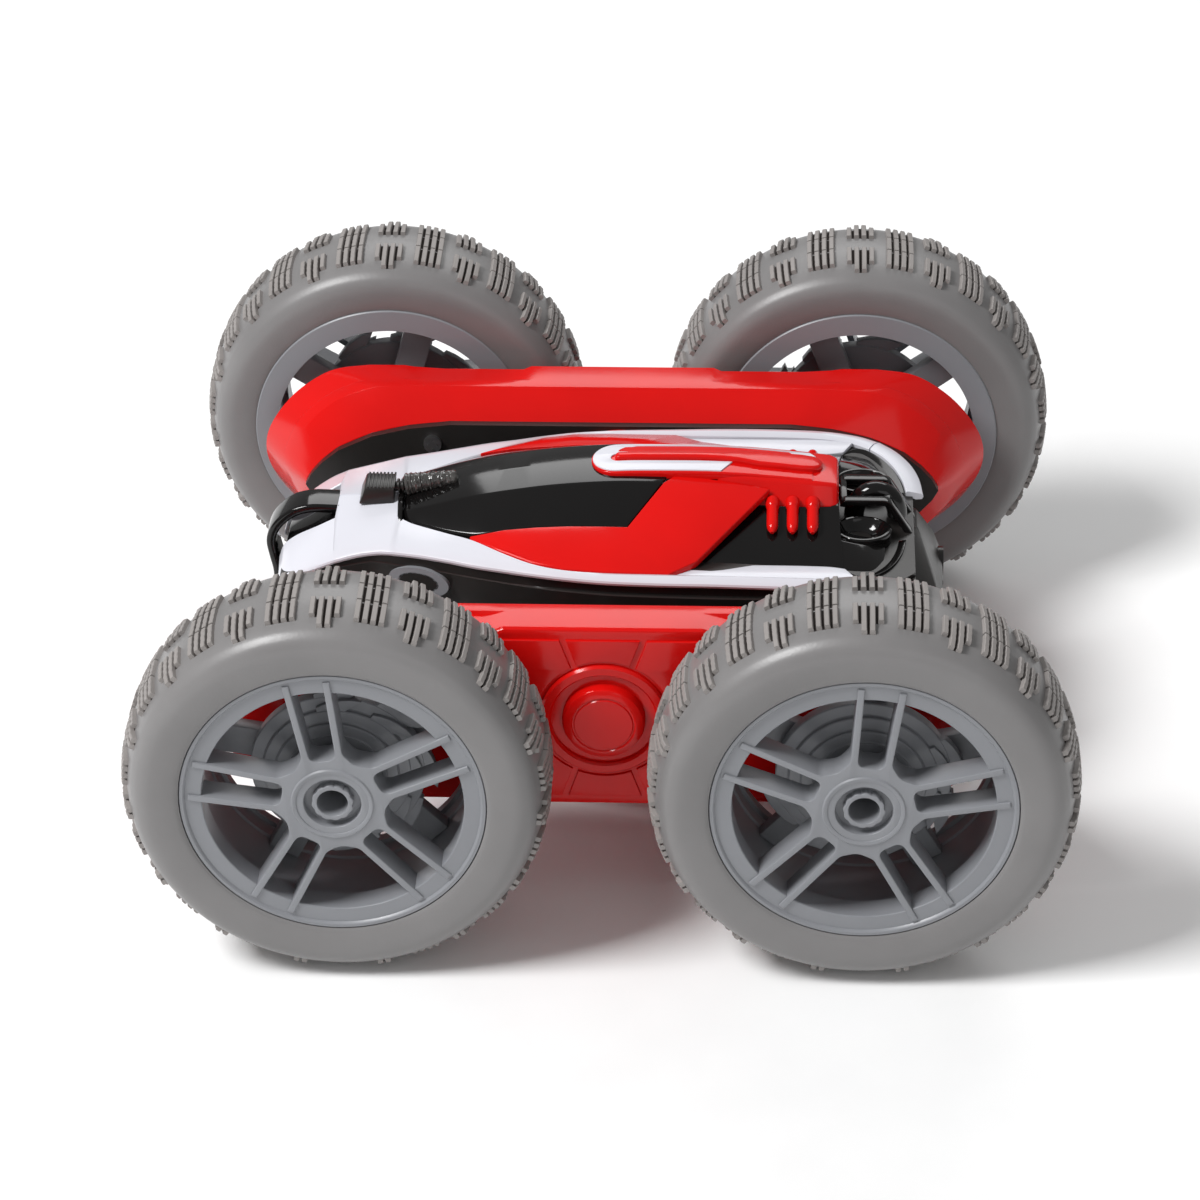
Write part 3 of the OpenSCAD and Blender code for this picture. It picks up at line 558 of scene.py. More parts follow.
# Rails along the right side of the upper body, as (x, y, height over the middle), from nose to rear.
# Each section pairs an outer rail, along the shoulder, with an inner one, along the panel opening.
SHELL_SECTIONS = (
    ([(-64.3, 9.6, 4.6), (-62.8, 12.4, 7), (-60, 15, 9.6), (-56, 16.4, 12), (-52.6, 16.7, 13.6)],
     [(-64.3, 4.7, 6.9), (-63.2, 4.9, 9.8), (-60.5, 5.4, 12.3), (-56.8, 5.8, 14.4), (-53, 6.3, 16.7)]),
    ([(-52.4, 16.7, 13.7), (-48, 16.6, 15), (-44, 17, 15.9), (-41.2, 17.7, 16.3)],
     [(-52.6, 0, 17.8), (-48, 0, 18.1), (-44, 0, 18.3), (-40.8, 0, 18.5)]),
    ([(-40.8, 17.8, 16.3), (-38, 18.5, 16.4), (-35, 19.3, 16.5), (-30, 20.9, 16.6), (-25, 22.6, 16.6),
      (-20, 23.9, 16.6), (-14, 25.5, 16.7), (-8, 26.7, 16.7), (0, 27.8, 16.7), (10, 28.3, 16.7),
      (20, 28.6, 16.8), (30, 28.8, 16.7), (40, 28.7, 16.4), (47, 28, 15.8), (51.2, 26.5, 15.3)],
     [(-40.4, 7.2, 17.5), (-38.3, 8.9, 17.4), (-35, 10.8, 17.5), (-30.6, 13.4, 17.8), (-26, 15.9, 18),
      (-20.5, 19.7, 17.8), (-14.6, 23.1, 17.5), (-8.6, 24.9, 17.3), (-1, 25.5, 17.1), (9, 25.6, 17),
      (20, 25.6, 16.9), (30, 25.7, 16.8), (39, 25.6, 16.6), (45.5, 24.8, 16.1), (49.2, 23.3, 15.7)]),
    ([(51.45, 26.4, 15.3), (54.5, 24, 14.8), (57.2, 20, 14.4), (58.9, 15, 14.1), (59.6, 9, 14)],
     [(49.45, 23.2, 15.7), (51.9, 20.8, 15.4), (54, 17.4, 15.1), (55.5, 13, 14.9), (56.2, 8.6, 14.8)]),
)
CANOPY_EDGE = [(-40, 6.6, 17.3), (-38, 8.6, 17.4), (-35, 10.5, 17.6), (-30, 13.1, 18), (-25, 14.9, 18.6),
               (-20, 14.8, 19.6), (-14, 14.7, 20.2), (-8, 14.8, 20.6), (-2, 14.9, 20.7), (3.2, 15, 20.7)]
CANOPY_CREASE = [(-40, 5.6, 18), (-38, 6.5, 18.9), (-35, 6.8, 19.8), (-30, 6.9, 21.3), (-25, 7, 22.5),
                 (-19, 7, 23.6), (-12, 7, 24.7), (-5, 7, 25.4), (2, 7, 25.8), (9.7, 7, 25.7)]
CANOPY_TOP = [(-40, 0, 18.4), (-38, 0, 19.4), (-35, 0, 20.3), (-30, 0, 21.9), (-25, 0, 23.1), (-19, 0, 24.3),
              (-12, 0, 25.3), (-5, 0, 26), (3, 0, 26.3), (13, 0, 26.3)]
PANEL_INNER = [(-26.5, 15.3, 18.4), (-20, 15, 19.75), (-14, 14.9, 20.35), (-8, 15, 20.75), (-2, 15.1, 20.85),
               (3.3, 15.2, 20.85), (6.5, 11.3, 23.3), (9.9, 7.1, 25.8), (12.6, 4.2, 26)]
PANEL_OUTER = [(-26.5, 15.7, 18.2), (-20.5, 19.55, 17.9), (-14.6, 22.95, 17.6), (-8.6, 24.75, 17.4),
               (-1, 25.35, 17.2), (11.4, 25.5, 17), (16.4, 22, 17.6), (23.6, 14, 21.3), (30, 7, 24.6)]
CHASSIS_HALF_W = [(-63.5, 11.5), (-60, 14.7), (-55, 16), (-50, 16.2), (-45, 16.5), (-40, 17.7), (-35, 18.9),
                  (-30, 20.4), (-25, 22), (-20, 23.4), (-14, 25), (-8, 26.2), (0, 27.3), (10, 27.8), (20, 28.1),
                  (40, 28.2), (47, 27.4), (52, 25.2), (56, 21), (57.5, 19)]
SHOULDER_H = [(-66, 5.5), (-60, 10.6), (-52, 13.8), (-44, 15.9), (-40, 16.3), (-20, 16.6), (20, 16.8), (40, 16.4),
              (47, 15.8), (58, 14.2)]


def both(bm):
    """The piece and its mirror image on the other side of the car."""
    return absorb(bm, bm.copy(), Matrix.Diagonal((1, -1, 1, 1)))


def mirrored(points):
    return [(x, -y, z) for x, y, z in points]


def sheet(rails, thickness, smooth=True):
    """A panel through rails that run side by side. Each rail is smoothed along its length, if asked."""
    lines = [smooth_line(rail, RAIL_STEPS) if smooth else [Vector(p) for p in rail] for rail in rails]
    rings = []
    for across in zip(*lines):
        under = [p - Vector((0, 0, thickness)) for p in reversed(across)]
        rings.append(list(across) + under)
    return loft(rings)


def band(path, outline):
    """Sweeps an outline of (y, outward) points along a path in the car's middle plane."""
    points = [Vector(p) for p in path]
    rings = []
    for i, point in enumerate(points):
        ahead = (points[min(i + 1, len(points) - 1)] - points[max(i - 1, 0)]).normalized()
        outward = Vector((0, 1, 0)).cross(ahead)
        rings.append([point + Vector((0, y, 0)) + outward * n for y, n in outline])
    return loft(rings)


def hull(points):
    bm = bmesh.new()
    for point in points:
        bm.verts.new(point)
    bmesh.ops.convex_hull(bm, input=bm.verts)
    loose = [v for v in bm.verts if not v.link_faces]
    bmesh.ops.delete(bm, geom=loose, context="VERTS")
    bmesh.ops.dissolve_limit(bm, angle_limit=math.radians(2), verts=bm.verts, edges=bm.edges)
    bmesh.ops.recalc_face_normals(bm, faces=bm.faces)
    return bm


def rounded(half_y, half_n, radius, steps=3):
    return [tuple(p) for p in fillet([(-half_y, -half_n), (half_y, -half_n), (half_y, half_n), (-half_y, half_n)],
                                     radius, steps)]


def cut(bm, cutter):
    """Takes the cutter's volume out of a closed mesh."""
    holders = []
    for source in (bm, cutter):
        mesh = bpy.data.meshes.new("cut")
        source.to_mesh(mesh)
        source.free()
        holders.append(bpy.data.objects.new("cut", mesh))
        bpy.context.scene.collection.objects.link(holders[-1])
    modifier = holders[0].modifiers.new("cut", "BOOLEAN")
    modifier.operation = "DIFFERENCE"
    modifier.solver = "EXACT"
    modifier.object = holders[1]
    bpy.context.view_layer.update()
    result = bmesh.new()
    result.from_object(holders[0], bpy.context.evaluated_depsgraph_get())
    for holder in holders:
        mesh = holder.data
        bpy.data.objects.remove(holder)
        bpy.data.meshes.remove(mesh)
    return result


def rim_ring(outer, inner):
    """Cross-section of the white shell: stripe, rounded shoulder, crease, top face and lip, then back inside."""
    inward = Vector((inner.x - outer.x, inner.y - outer.y, 0))
    width = inward.length
    inward.normalize()
    up = Vector((0, 0, 1))
    crease = min(2.2, width * 0.62)
    lift = 0.5 + 0.02 * width
    return [outer + inward * 0.3 - up * STRIPE_H, outer - up * 0.55, outer + inward * 0.12 - up * 0.15,
            outer + inward * 0.5 + up * 0.12, outer + inward * crease + up * lift,
            inner - inward * 0.25 + up * 0.02, inner - up * 0.22, inner - up * PANEL_T,
            inner - inward * 1.1 - up * (PANEL_T + 0.1), outer + inward * 1.5 - up * STRIPE_H]


def rim_rings(outer, inner):
    return [rim_ring(o, i) for o, i in zip(smooth_line(outer, RAIL_STEPS), smooth_line(inner, RAIL_STEPS))]


def shell():
    """White shell of one half of the car. The rim round the tail is on the right side only."""
    bm = bmesh.new()
    rings = []
    for outer, inner in SHELL_SECTIONS[:3]:
        rings += rim_rings(outer, inner)
    absorb(bm, loft(rings))
    outer_w = [(10, 25.5), (39, 25.5), (46, 24.6)]
    outer_rail = [(x, lerp_table(outer_w, x), 16.25) for x in (10, 18, 26, 34, 39, 43, 46)]
    inner_rail = [(x, y, 15.95) for x, y in ((10, 20.6), (18, 20.5), (26, 20.4), (34, 20.4), (38, 20.5), (41.5, 20.7),
                                             (44.2, 21.3))]
    ledge = sheet([outer_rail, inner_rail], 0.9)
    absorb(bm, soften(ledge, 0.15))
    both(bm)
    return absorb(bm, loft(rim_rings(*SHELL_SECTIONS[3])))


def chassis():
    stations = [-63.5 + i * 121 / 60 for i in range(61)]
    rings = []
    for x in stations:
        w = lerp_table(CHASSIS_HALF_W, x)
        top = lerp_table(SHOULDER_H, x) - STRIPE_H + 0.4
        ledge = min(LEDGE_H, top - 1.5)
        step = 0.55 * max(0, min(1, (x + 16) / 9))
        outer = [(w * 0.92, 0), (w * 0.96, ledge * 0.55), (w - 0.1, ledge - 0.25), (w - 0.25, ledge),
                 (w - 0.25 - step, ledge + 0.1), (w - 0.1 - step * 0.6, top)]
        inner = [(w - 2.4, top - 1.6), (w * 0.92 - 1.8, 0)]
        half = [(x, y, z) for y, z in outer]
        inside = [(x, y, z) for y, z in inner]
        rings.append(half + mirrored(reversed(half)) + mirrored(reversed(inside)) + inside)
    bm = loft(rings)
    for x0, x1 in ((-63.5, -62), (56, 57.5)):
        w = lerp_table(CHASSIS_HALF_W, x0)
        top = lerp_table(SHOULDER_H, x0) - STRIPE_H
        wall = [[(x, -w * 0.9, 0), (x, w * 0.9, 0), (x, w - 1, top - 0.5), (x, -w + 1, top - 0.5)] for x in (x0, x1)]
        absorb(bm, loft(wall))
    return bm


def scoop():
    """Oval intake ring on each flank."""
    lay = Matrix.Rotation(math.pi / 2, 4, "X") @ Matrix.Diagonal((5.8, 3, 1, 1))
    lip = [(0.64, -0.8), (1.05, -0.8), (1.05, 0.3), (1, 0.65), (0.93, 0.75), (0.74, 0.75), (0.66, 0.5)]
    bm = absorb(bmesh.new(), lathe(lip, 64), lay)
    absorb(bm, lathe([(0.01, -0.8), (0.7, -0.8), (0.7, 0.1), (0.01, 0.1)], 48), lay, 1)
    place = Matrix.Translation((-36, 18.4, 10.4)) @ Matrix.Rotation(math.radians(16), 4, "Z")
    bmesh.ops.transform(bm, matrix=place, verts=bm.verts)
    return both(bm)


def canopy():
    rails = [CANOPY_EDGE, CANOPY_CREASE, CANOPY_TOP, mirrored(CANOPY_CREASE), mirrored(CANOPY_EDGE)]
    bm = soften(sheet(rails, PANEL_T), 0.35, 3, 11)
    hoop_half = [(-40.5, 0, 18.9), (-40.5, 3.6, 18.8), (-40.4, 6, 18.2), (-40.3, 8, 17.2), (-40, 9.6, 15.8)]
    hoop = smooth_line(mirrored(reversed(hoop_half[1:])) + hoop_half, 4)
    absorb(bm, tube(hoop, 0.55, 10))
    return bm


def side_panels():
    bm = soften(sheet([PANEL_INNER, PANEL_OUTER], PANEL_T, smooth=False), 0.22, 2)
    return both(bm)


def plate_height(x):
    return lerp_table([(-4, 26.5), (4, 26.9), (16, 27), (24, 26.8), (32, 26.1), (44, 24.9)], x)


def draped(outline, top, thickness, edge):
    """A plate whose top follows a height line along x. The outline is dense where the line bends."""
    bm = plate([outline], -thickness / 2, thickness / 2, edge)
    for vertex in bm.verts:
        vertex.co.z += top(vertex.co.x) - thickness / 2
    return bm


def dense(points, step):
    """The closed outline with extra points, so that no edge is much longer than the step."""
    result = []
    for i, point in enumerate(points):
        here, after = Vector(point), Vector(points[(i + 1) % len(points)])
        count = max(1, int((after - here).length / step))
        result += [here.lerp(after, k / count) for k in range(count)]
    return result


def round_nose(x, start, radius, width):
    """Half width of a bar with a half-round end at the start."""
    reach = min(max(x - start, 0) / radius, 1)
    return max(0.25, width * math.sqrt(max(0, 1 - (1 - reach) ** 2)))


def spoiler():
    """Blade with a round nose, the block under its tail, and the raised bar along its middle."""
    bm = bmesh.new()
    places = [-4, -3.9, -3.6, -3.1, -2.4, -1.5, -0.4, 1, 3, 6, 10, 14, 18, 22, 26, 30, 34, 38]
    rings = []
    for x in places:
        w = round_nose(x, -4.05, 5, 5.2)
        ring = fillet([(-w, -1.5), (w, -1.5), (w, 0), (-w, 0)], [0, 0, min(0.4, w / 2), min(0.4, w / 2)], 3)
        rings.append([(x, y, plate_height(x) + z) for y, z in ring])
    absorb(bm, loft(rings))
    sections = ((20, 5, 26.5, 6), (25, 5.3, 26.4, 7), (30, 5.5, 26, 7.6), (38, 5.6, 25.3, 7.8),
                (41.4, 5.5, 24.9, 7.6), (42.6, 5.1, 24.5, 7), (43, 4.5, 23.9, 6.2))
    rings = []
    for x, w, h, base in sections:
        ring = fillet([(-base, 16.5), (base, 16.5), (base, 21.2), (w, h), (-w, h), (-base, 21.2)],
                      [0, 0, 0.8, 1.2, 1.2, 0.8], 4)
        rings.append([(x, y, z) for y, z in ring])
    absorb(bm, soften(loft(rings), 0.25, 2, 40))
    bar_w = [(0.4, 1), (22, 1), (27, 2.3), (36, 2.5), (40, 2)]
    places = [0.4, 0.5, 0.7, 1, 1.4, 2, 4, 8, 12, 16, 20, 24, 28, 32, 36, 38, 39, 39.6, 39.9]
    rings = []
    for x in places:
        end = math.sqrt(max(0.04, 1 - max(0, (x - 38) / 2) ** 2))
        w = round_nose(x, 0.38, 1, lerp_table(bar_w, x)) * end
        rise = (0.3 + 0.75 * min(1, w / 0.9)) * (0.4 + 0.6 * end)
        ring = fillet([(-w, -1), (w, -1), (w, rise), (-w, rise)], [0, 0, min(0.7, w * 0.9), min(0.7, w * 0.9)], 4)
        rings.append([(x, y, plate_height(x) + z) for y, z in ring])
    absorb(bm, loft(rings))
    return bm


def stripe():
    """White U on the spoiler: the near branch stops early with a slanted end."""
    outer, inner, centre = 4.75, 1.3, 0.95
    bend = [(centre - outer * math.sin(a), -outer * math.cos(a)) for a in (math.pi * k / 24 for k in range(1, 24))]
    back = [(centre - inner * math.sin(a), -inner * math.cos(a))
            for a in (math.pi * k / 16 for k in range(15, 0, -1))]
    outline = ([(20.7, -outer), (centre, -outer)] + bend + [(centre, outer), (37.5, outer * 0.9), (38.6, 3.2),
               (36, 2.5), (27, 2.4), (22, inner), (centre, inner)] + back + [(centre, -inner), (22.8, -inner)])
    return draped(dense(outline, 2), lambda x: plate_height(x) + 0.28, 0.6, 0.1)


def pipes():
    bm = bmesh.new()
    steps = 12
    for x in (30.5, 34.3, 38.1):
        start, end = Vector((x, 7, 22.3)), Vector((x, 14.7, 19.55))
        path = [start.lerp(end, k / steps) for k in range(steps + 1)]
        radii = [1.1] * (steps + 1)
        for back, r in ((0, 0.35), (1, 0.85), (2, 1.05)):
            radii[-1 - back] = r
        absorb(bm, tube(path, radii, 18))
        collar = [start.lerp(end, t) for t in (0.02, 0.05, 0.2, 0.26, 0.3)]
        absorb(bm, tube(collar, [0.9, 1.35, 1.35, 1.2, 1], 18))
    return both(bm)


def engine():
    """Hood, tray, cage, tow loop, intake bowls and the deck behind the spoiler."""
    bm = bmesh.new()
    hood = sheet([[(x, 20.9, 15.7) for x in (12, 20, 28, 36, 44)],
                  [(x, 14.5, 18.3) for x in (12, 20, 28, 36, 43.5)],
                  [(x, 7.4, 21.2) for x in (12, 20, 28, 36, 43)],
                  [(x, 0, 21.4) for x in (12, 20, 28, 36, 43)]], 1.2)
    absorb(bm, both(soften(hood, 0.3, 3, 8)))
    tray = ((42, 19, (12.4, 13.6)), (55.5, 9, (12.2, 13.2)), (50, 19, (12.4, 13.4)))
    absorb(bm, hull([(x, y, z) for x, half_y, heights in tray for y in (-half_y, half_y) for z in heights]))
    inner = SHELL_SECTIONS[3][1]
    top_rail = [(44.2, 21.4, 15.6), (46.8, 23.4, 15.6)] + [(x - 0.3, y - 0.3, z - 0.35) for x, y, z in inner]
    low_rail = [(42.5, 19.5, 14), (44.5, 19, 13.6), (46.5, 18.4, 13.4), (48.6, 16.8, 13.3), (50, 14, 13.2),
                (51, 10.6, 13.1), (51.5, 7.5, 13)]
    absorb(bm, both(soften(sheet([top_rail, low_rail], 0.9), 0.15)))
    cage = fillet([(43.9, 14), (43.9, 20.2), (52.4, 20.2), (57.2, 12.4), (57.6, 10)], [0, 0.8, 1.6, 1, 0], 5)
    for side in (-1, 1):
        bar = band([(x, 0, z) for x, z in cage[1:-1]], rounded(0.95, 0.6, 0.2))
        absorb(bm, bar, Matrix.Translation((0, side * CAGE_Y, 0)))
        bowl = lathe([(0.01, 14.2), (0.45, 14.5), (0.75, 15.3), (0.9, 16.6), (0.96, 16.9), (1.04, 16.9),
                      (1.1, 16.6), (1.12, 15.5), (1.05, 13), (0.01, 13)], 64)
        absorb(bm, bowl, Matrix.Translation((47.6, side * 8.8, 0.3)) @ Matrix.Diagonal((5, 4.1, 1, 1)))
    for x, z in ((44, 20.2), (52.2, 19.9)):
        absorb(bm, soften(block((x - 0.6, -4.4, z - 0.5), (x + 0.6, 4.4, z + 0.45)), 0.15))
    loop = [(50.2 + 4.1 * math.cos(a), 0, 15 + 5.1 * math.sin(a)) for a in (math.pi * k / 20 for k in range(21))]
    absorb(bm, tube(loop, 1.95, 20))
    deck = sheet([[(43, 20.8, 15.6), (46, 20.9, 15.3), (49, 20.4, 14.8), (51.5, 18.6, 14.1)],
                  [(43, 14.5, 18), (46, 14.4, 17.2), (49, 13.6, 16.2), (51.8, 12, 14.8)],
                  [(43, 9.5, 17), (46, 9.5, 16.2), (49, 9, 15.2), (52.2, 8, 14)]], 0.8)
    absorb(bm, both(soften(deck, 0.15, 2, 12)))
    return bm


def nose_guard():
    """Strap that arches over the nose from top to bottom, and the two sloping frame parts beside it."""
    upper = [(-52.6, 0, 16.4), (-55, 0, 16.5), (-58, 0, 16.5), (-61, 0, 15.7), (-63.4, 0, 14), (-65.2, 0, 11.8),
             (-66.05, 0, 9.2), (-65.7, 0, 6.2), (-65.1, 0, 3)]
    path = smooth_line(upper + [(-65, 0, 0)] + [(x, 0, -z) for x, _, z in reversed(upper)], 4)
    bm = band(path, rounded(3.3, 0.9, 0.7, 4))
    corners = ((-62.8, 4.6, 8.4), (-62.8, 4.6, 9.8), (-53, 6, 13.8), (-53, 6, 15.4))
    for flip in (1, -1):
        frame_part = hull([(x, y * s, h * flip) for x, y, h in corners for s in (-1, 1)])
        absorb(bm, soften(frame_part, 0.2))
    return bm


def winch():
    """Ribbed block, its neck with two rings, and a tapered drum of wound rope."""
    corners = [(-48.6, 3.6, 18), (-41.8, 3.3, 18), (-47.4, 3, 21.2), (-41.8, 2.8, 21.2)]
    bm = soften(hull(corners + mirrored(corners)), 0.3)
    for i in range(8):
        x = -47 + 0.7 * i
        absorb(bm, soften(block((x, -2.85, 21), (x + 0.38, 2.9, 21.45)), 0.08))
    absorb(bm, tube([(-42, 0, 20), (-39, 0, 20.2)], 0.95, 16))
    for x in (-41.2, -40.4):
        absorb(bm, tube([(x, 0, 20.05), (x + 0.35, 0, 20.1)], 1.45, 16))
    path, radii = [], []
    steps = 60
    for k in range(steps + 1):
        t = k / steps
        path.append((-39.6 + 10 * t, 0, 20.4 + 1.9 * t))
        core = 2.15 - 0.85 * t
        cap = math.sqrt(max(0.02, 1 - max(0, (t - 0.93) / 0.07) ** 2))
        radii.append(core * cap * (1 + 0.05 * math.sin(t * 70) + 0.03 * math.sin(t * 173)))
    cone = tube(path, radii, 28)
    for i, vertex in enumerate(cone.verts):
        swell = 0.11 * math.sin(i * 2.3) * math.sin(i * 0.71)
        vertex.co += Vector((0, vertex.co.y, vertex.co.z - 21)).normalized() * swell
    absorb(bm, cone, material=1)
    return bm


def rear_bumper():
    """Faceted block with a corner guard on one side, the switch's slot and the charging hole."""
    half = [(53.5, 8.6, 12.6), (58.2, 7.6, 11.6), (57.6, 15.5, 6), (61.8, 11, 4.5), (63.5, 8.5, 1.2), (56.4, 17.6, 1)]
    corners = [(x, y * s, z * f) for x, y, z in half for s in (-1, 1) for f in (-1, 1)]
    bm = soften(hull(corners), 0.35, 2, 12)
    guard = [(58.2, -0.5, 13), (53.8, -4, 13.6), (50.9, -16.2, 13.8), (50.6, -22.6, 14), (58.1, -14.5, 11.4),
             (61.5, -12, 9), (61.8, -17.4, 8.6), (56.5, -22.4, 10), (61.2, -10.5, 3.4), (61.4, -17, 3.4),
             (56, -21.8, 3.4), (51, -23.6, 3.4), (51, -1, 3.4), (58.4, -1, 3.4)]
    for flip in (1, -1):
        absorb(bm, soften(hull([(x, y * flip, z * flip) for x, y, z in guard]), 0.3, 2, 12))
    switch_low, switch_high = mm_box("power_switch")
    reach_y = switch_high.y + SWITCH_TRAVEL + 0.2
    bm = cut(bm, block((57.9, switch_low.y - 0.4, -1.5), (70, reach_y, 1.5)))
    bm = cut(bm, block((57.9, switch_low.y - 0.5, -2.6), (61.6, reach_y + 0.2, 2.6)))
    low, high = mm_box("charge_socket")
    hole = lathe([(0.01, -10), (3.02, -10), (3.02, 10), (0.01, 10)], 48)
    turn = Matrix.Translation((low.x + 8, (low.y + high.y) / 2, 0)) @ Matrix.Rotation(math.pi / 2, 4, "Y")
    bmesh.ops.transform(hole, matrix=turn, verts=hole.verts)
    return cut(bm, hole)


def add_halves(name, bm_maker, materials):
    """An upper and a lower piece, each in place of its own CAD node."""
    for half, place in HALVES.items():
        bm = absorb(bmesh.new(), bm_maker(), place)
        add_piece(f"{half}_{name}_detail", bm, materials, "chassis", [f"{half}_{name}"])


def add_pair(name, bm_maker, materials, node):
    """One piece with an upper and a lower copy."""
    bm = bmesh.new()
    for place in HALVES.values():
        absorb(bm, bm_maker(), place)
    add_piece(name, bm, materials, "chassis", [node] if node else ())


def build_body():
    add_halves("chassis", chassis, SATIN)
    add_halves("shell", shell, WHITE)
    add_halves("canopy", canopy, BLACK)
    add_halves("side_panels", side_panels, RED)
    add_halves("spoiler", spoiler, RED)
    add_halves("engine", engine, BLACK)
    add_pair("spoiler_stripes_detail", stripe, WHITE, "spoiler_stripes")
    add_pair("exhaust_pipes_detail", pipes, RED, "exhaust_pipes")
    add_pair("winches_detail", winch, (SATIN, ROPE), "winches")
    add_pair("flank_scoops", scoop, (WHEEL, SATIN), None)
    add_piece("nose_guard_detail", absorb(bmesh.new(), nose_guard(), UPPER), BLACK, "chassis",
              ["nose_guard"])
    add_piece("rear_bumper_detail", absorb(bmesh.new(), rear_bumper(), UPPER), SATIN, "chassis",
              ["rear_bumper"])


# ---------------------------------------------------------------- arms

ARM_TIP = WHEEL_X + 25.5
ARM_HALF_H = 19.5
ARM_OUTLINE = [(WHEEL_X + 3.5, ARM_HALF_H), (WHEEL_X + 9.5, 18.7), (WHEEL_X + 13.7, 16.9), (WHEEL_X + 18.5, 13.2),
               (WHEEL_X + 22.2, 8.8), (WHEEL_X + 24.7, 4.3), (ARM_TIP, 0)]
ARM_CREASE = [(40, ARM_HALF_H - 0.2), (WHEEL_X + 0.5, 19), (WHEEL_X + 4.5, 18), (WHEEL_X + 9.6, 15.7),
              (WHEEL_X + 15.3, 10.6), (WHEEL_X + 18.1, 5), (WHEEL_X + 19.7, 0)]
ARM_INNER = [(34, 14.1), (WHEEL_X - 5.2, 13.1), (WHEEL_X + 2.3, 11.2), (WHEEL_X + 9.1, 7.9), (WHEEL_X + 12.5, 5),
             (WHEEL_X + 14.8, 2.3), (WHEEL_X + 16, 0)]
RECESS = (19.2, 43)
ARM_BOSS_H = 2.4
ARM_WALL = 1.6
CREASE_Y = 40
INNER_Y = 35
COLLAR_R = 13.4


def smooth2(points, steps):
    return [Vector((p.x, p.y)) for p in smooth_line([(x, y, 0) for x, y in points], steps)]


def arm_loop(quarter, inset):
    """The whole outline of an arm at one distance from the car, pulled in by the inset."""
    xs = (6, 12, 18.3, 19.9, 24, 30, 36, 42, 44)
    start_x = quarter[0][0]
    flat = [Vector((x * min(1, (start_x - 1) / 44), quarter[0][1])) for x in xs]
    below = (quarter[-2][0], -quarter[-2][1])
    steps = 4
    bend = smooth2(list(quarter) + [below], steps)[:steps * (len(quarter) - 1) + 1]
    upper = [Vector((p.x - inset * 0.75, max(p.y - inset, 0))) for p in flat + bend]
    n = len(upper)
    return (upper + [Vector((upper[i].x, -upper[i].y)) for i in range(n - 2, -1, -1)]
            + [Vector((-upper[i].x, -upper[i].y)) for i in range(n - 1)]
            + [Vector((-upper[i].x, upper[i].y)) for i in range(n - 1, -1, -1)])


def sunk(points, depth):
    """Lowers the top and bottom between the raised middle and the raised ends."""
    result = []
    for p in points:
        x = abs(p.x)
        inside = min(max((x - RECESS[0] + 0.6) / 0.9, 0), max((RECESS[1] - x) / 2.2, 0), 1)
        flat = 1 if abs(p.y) > ARM_HALF_H - 3 else 0
        result.append(Vector((p.x, p.y - math.copysign(depth * inside * flat, p.y))))
    return result


def layer(points, z):
    return [(p.x, p.y, z) for p in points]


def blend_outline(a, b, t):
    return [p.lerp(q, t) for p, q in zip(a, b)]


def arm_cover():
    """Hollow cover of an arm, with its panels, ring, boss and two bearings on the outer face."""
    face = ARM_FACE - ARM_BOSS_H
    wide, crease, inner = (arm_loop(q, 0) for q in (ARM_OUTLINE, ARM_CREASE, ARM_INNER))
    wide_in, crease_in, inner_in = (arm_loop(q, ARM_WALL) for q in (ARM_OUTLINE, ARM_CREASE, ARM_INNER))
    share = 0.32
    step = blend_outline(crease, wide, share)
    step_y = CREASE_Y + (face - 0.7 - CREASE_Y) * share
    rings = [layer(wide_in, face - ARM_WALL), layer(crease_in, CREASE_Y), layer(inner_in, INNER_Y),
             layer(inner, INNER_Y), layer(crease, CREASE_Y), layer(step, step_y),
             layer(sunk(step, 0.75), step_y + 0.25),
             layer(sunk(wide, 0.75), face - 0.7),
             layer(sunk([Vector((p.x * 0.994, p.y * 0.982)) for p in wide], 0.7), face - 0.15),
             layer(sunk([Vector((p.x * 0.985, p.y * 0.955)) for p in wide], 0.6), face)]
    bm = soften(loft(rings), 0.35, 3, 16)
    for panel in face_panels():
        absorb(bm, plate(panel, face - 0.3, face + 0.4, 0.18))
    lift = Matrix.Translation((0, 0, face))
    ring = [(9.7, -0.3), (11.9, -0.3), (11.9, 0.45), (11.5, 0.9), (10.1, 0.9), (9.7, 0.45)]
    boss = [(0.01, -0.3), (7.7, -0.3), (7.6, 1.3), (7.3, 1.9), (6.7, 2.2), (5.95, 2.3), (5.75, 2.05), (5.5, 2.05),
            (5.3, 2.3), (0.01, 2.35)]
    absorb(bm, lathe(ring, 96), lift)
    absorb(bm, lathe(boss, 96), lift)
    for x in (-WHEEL_X, WHEEL_X):
        bearing = lathe([(2.1, -1), (4.6, -1), (4.6, 1.1), (4.3, 1.4), (2.1, 1.4)], 64)
        absorb(bm, bearing, Matrix.Translation((x, 0, face)))
    return bm


def hub_collar(side_name):
    """Short sleeve between the arm and the chassis."""
    low, high = mm_box(f"{side_name}_hub_collar")
    start, end = sorted((abs(low.y), abs(high.y)))
    return lathe([(8.6, start), (COLLAR_R - 1.2, start), (COLLAR_R - 0.5, start + 0.3), (COLLAR_R, start + 1.2),
                  (COLLAR_R, end), (8.6, end)], 96)


def arc(radius, start, end, steps):
    return [polar(radius, start + (end - start) * k / steps) for k in range(steps + 1)]


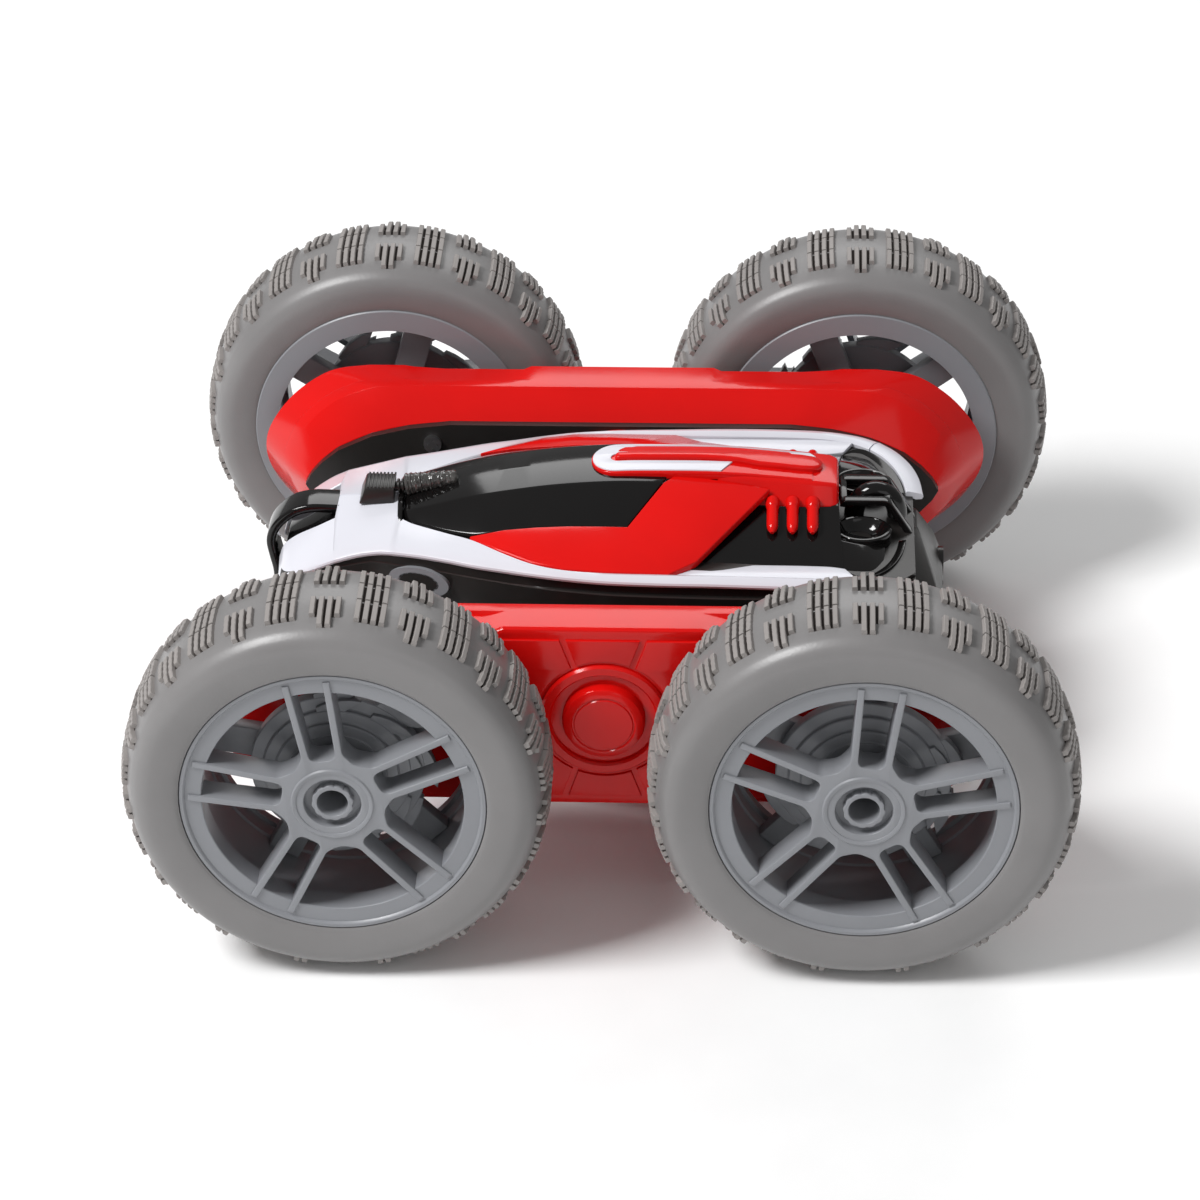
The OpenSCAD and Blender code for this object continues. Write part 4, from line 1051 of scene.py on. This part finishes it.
def face_panels():
    """Raised fields of an arm's outer face: one above and one below the ring, and one on each side of it."""
    gap_r = 12.6
    edge_h = 17.2
    panels = []
    for flip in (1, -1):
        top = [(-6.8, edge_h * flip), (6.8, edge_h * flip)] + [(x, y * flip) for x, y in arc(gap_r, 67, 113, 8)]
        panels.append([top])
        top = [(8, edge_h), (WHEEL_X + 3, edge_h), (WHEEL_X + 8.6, 16.2), (WHEEL_X + 12.6, 14.4),
               (WHEEL_X + 16.6, 11.3), (WHEEL_X + 20, 7.4), (WHEEL_X + 22.2, 3.6), (WHEEL_X + 22.8, 0)]
        side = top + [(x, -y) for x, y in reversed(top[:-1])] + arc(gap_r, -62, 62, 20)
        hole = [(x + WHEEL_X, y) for x, y in circle(6.4, 48)]
        panels.append([[(x * flip, y) for x, y in side], [(x * flip, y) for x, y in hole]])
    return panels


def build_arms():
    for side_name, side in SIDES.items():
        for part, source in (("arm_cover", arm_cover()), ("hub_collar", hub_collar(side_name))):
            node = f"{side_name}_{part}"
            bm = absorb(bmesh.new(), source, outwards(side))
            add_piece(f"{node}_detail", bm, RED, f"{side_name}_arm", [node])


# ---------------------------------------------------------------- camera, light and floor

def place_camera():
    """The photograph's view: from the left side, a little towards the nose, looking about 33 degrees down."""
    pan, tilt, roll = math.radians(-3.29), math.radians(32.67), math.radians(-1.09)
    ahead = Vector((math.sin(pan) * math.cos(tilt), math.cos(pan) * math.cos(tilt), -math.sin(tilt)))
    level = ahead.cross(Vector((0, 0, 1))).normalized()
    over = level.cross(ahead)
    right = level * math.cos(roll) + over * math.sin(roll)
    up = over * math.cos(roll) - level * math.sin(roll)
    data = bpy.data.cameras.new("camera")
    data.lens = 125.6
    data.sensor_width = 36
    data.shift_x = 0.0212
    data.shift_y = -0.0047
    data.clip_start = 0.01
    camera = bpy.data.objects.new("camera", data)
    camera.matrix_world = Matrix.Translation((0.03156, -0.68434, 0.47438)) @ Matrix(
        (right, up, -ahead)).transposed().to_4x4()
    bpy.context.scene.collection.objects.link(camera)
    bpy.context.scene.camera = camera


def area_light(name, position, target, size, power):
    data = bpy.data.lights.new(name, "AREA")
    data.shape = "RECTANGLE"
    data.size, data.size_y = size
    data.energy = power
    light = bpy.data.objects.new(name, data)
    light.location = position
    light.rotation_euler = (Vector(target) - Vector(position)).to_track_quat("-Z", "Y").to_euler()
    bpy.context.scene.collection.objects.link(light)


def place_lights():
    centre = (0, 0, 0.05)
    area_light("key", (-0.85, -0.45, 1.25), centre, (0.5, 0.5), 23)
    area_light("top", (0.1, 1.15, 0.95), centre, (1.2, 0.5), 6)
    area_light("fill", (0.6, -1.3, 0.6), centre, (0.8, 0.8), 1.5)
    world = bpy.data.worlds.new("studio")
    world.use_nodes = True
    world.node_tree.nodes["Background"].inputs["Color"].default_value = (1, 1, 1, 1)
    world.node_tree.nodes["Background"].inputs["Strength"].default_value = 0.3
    bpy.context.scene.world = world
    bpy.context.scene.view_settings.view_transform = "Standard"


def lay_floor():
    bm = bmesh.new()
    bmesh.ops.create_grid(bm, x_segments=2, y_segments=2, size=4000)
    bmesh.ops.scale(bm, vec=(MM, MM, MM), verts=bm.verts)
    mesh = bpy.data.meshes.new("floor")
    bm.to_mesh(mesh)
    bm.free()
    mesh.materials.append(plastic("floor", (0.97, 0.97, 0.97), 0.8, variation=0.01, bump=0))
    floor = bpy.data.objects.new("floor", mesh)
    bpy.context.scene.collection.objects.link(floor)


place_camera()
place_lights()
lay_floor()
dress_cad_nodes()
build_wheels()
build_body()
build_arms()
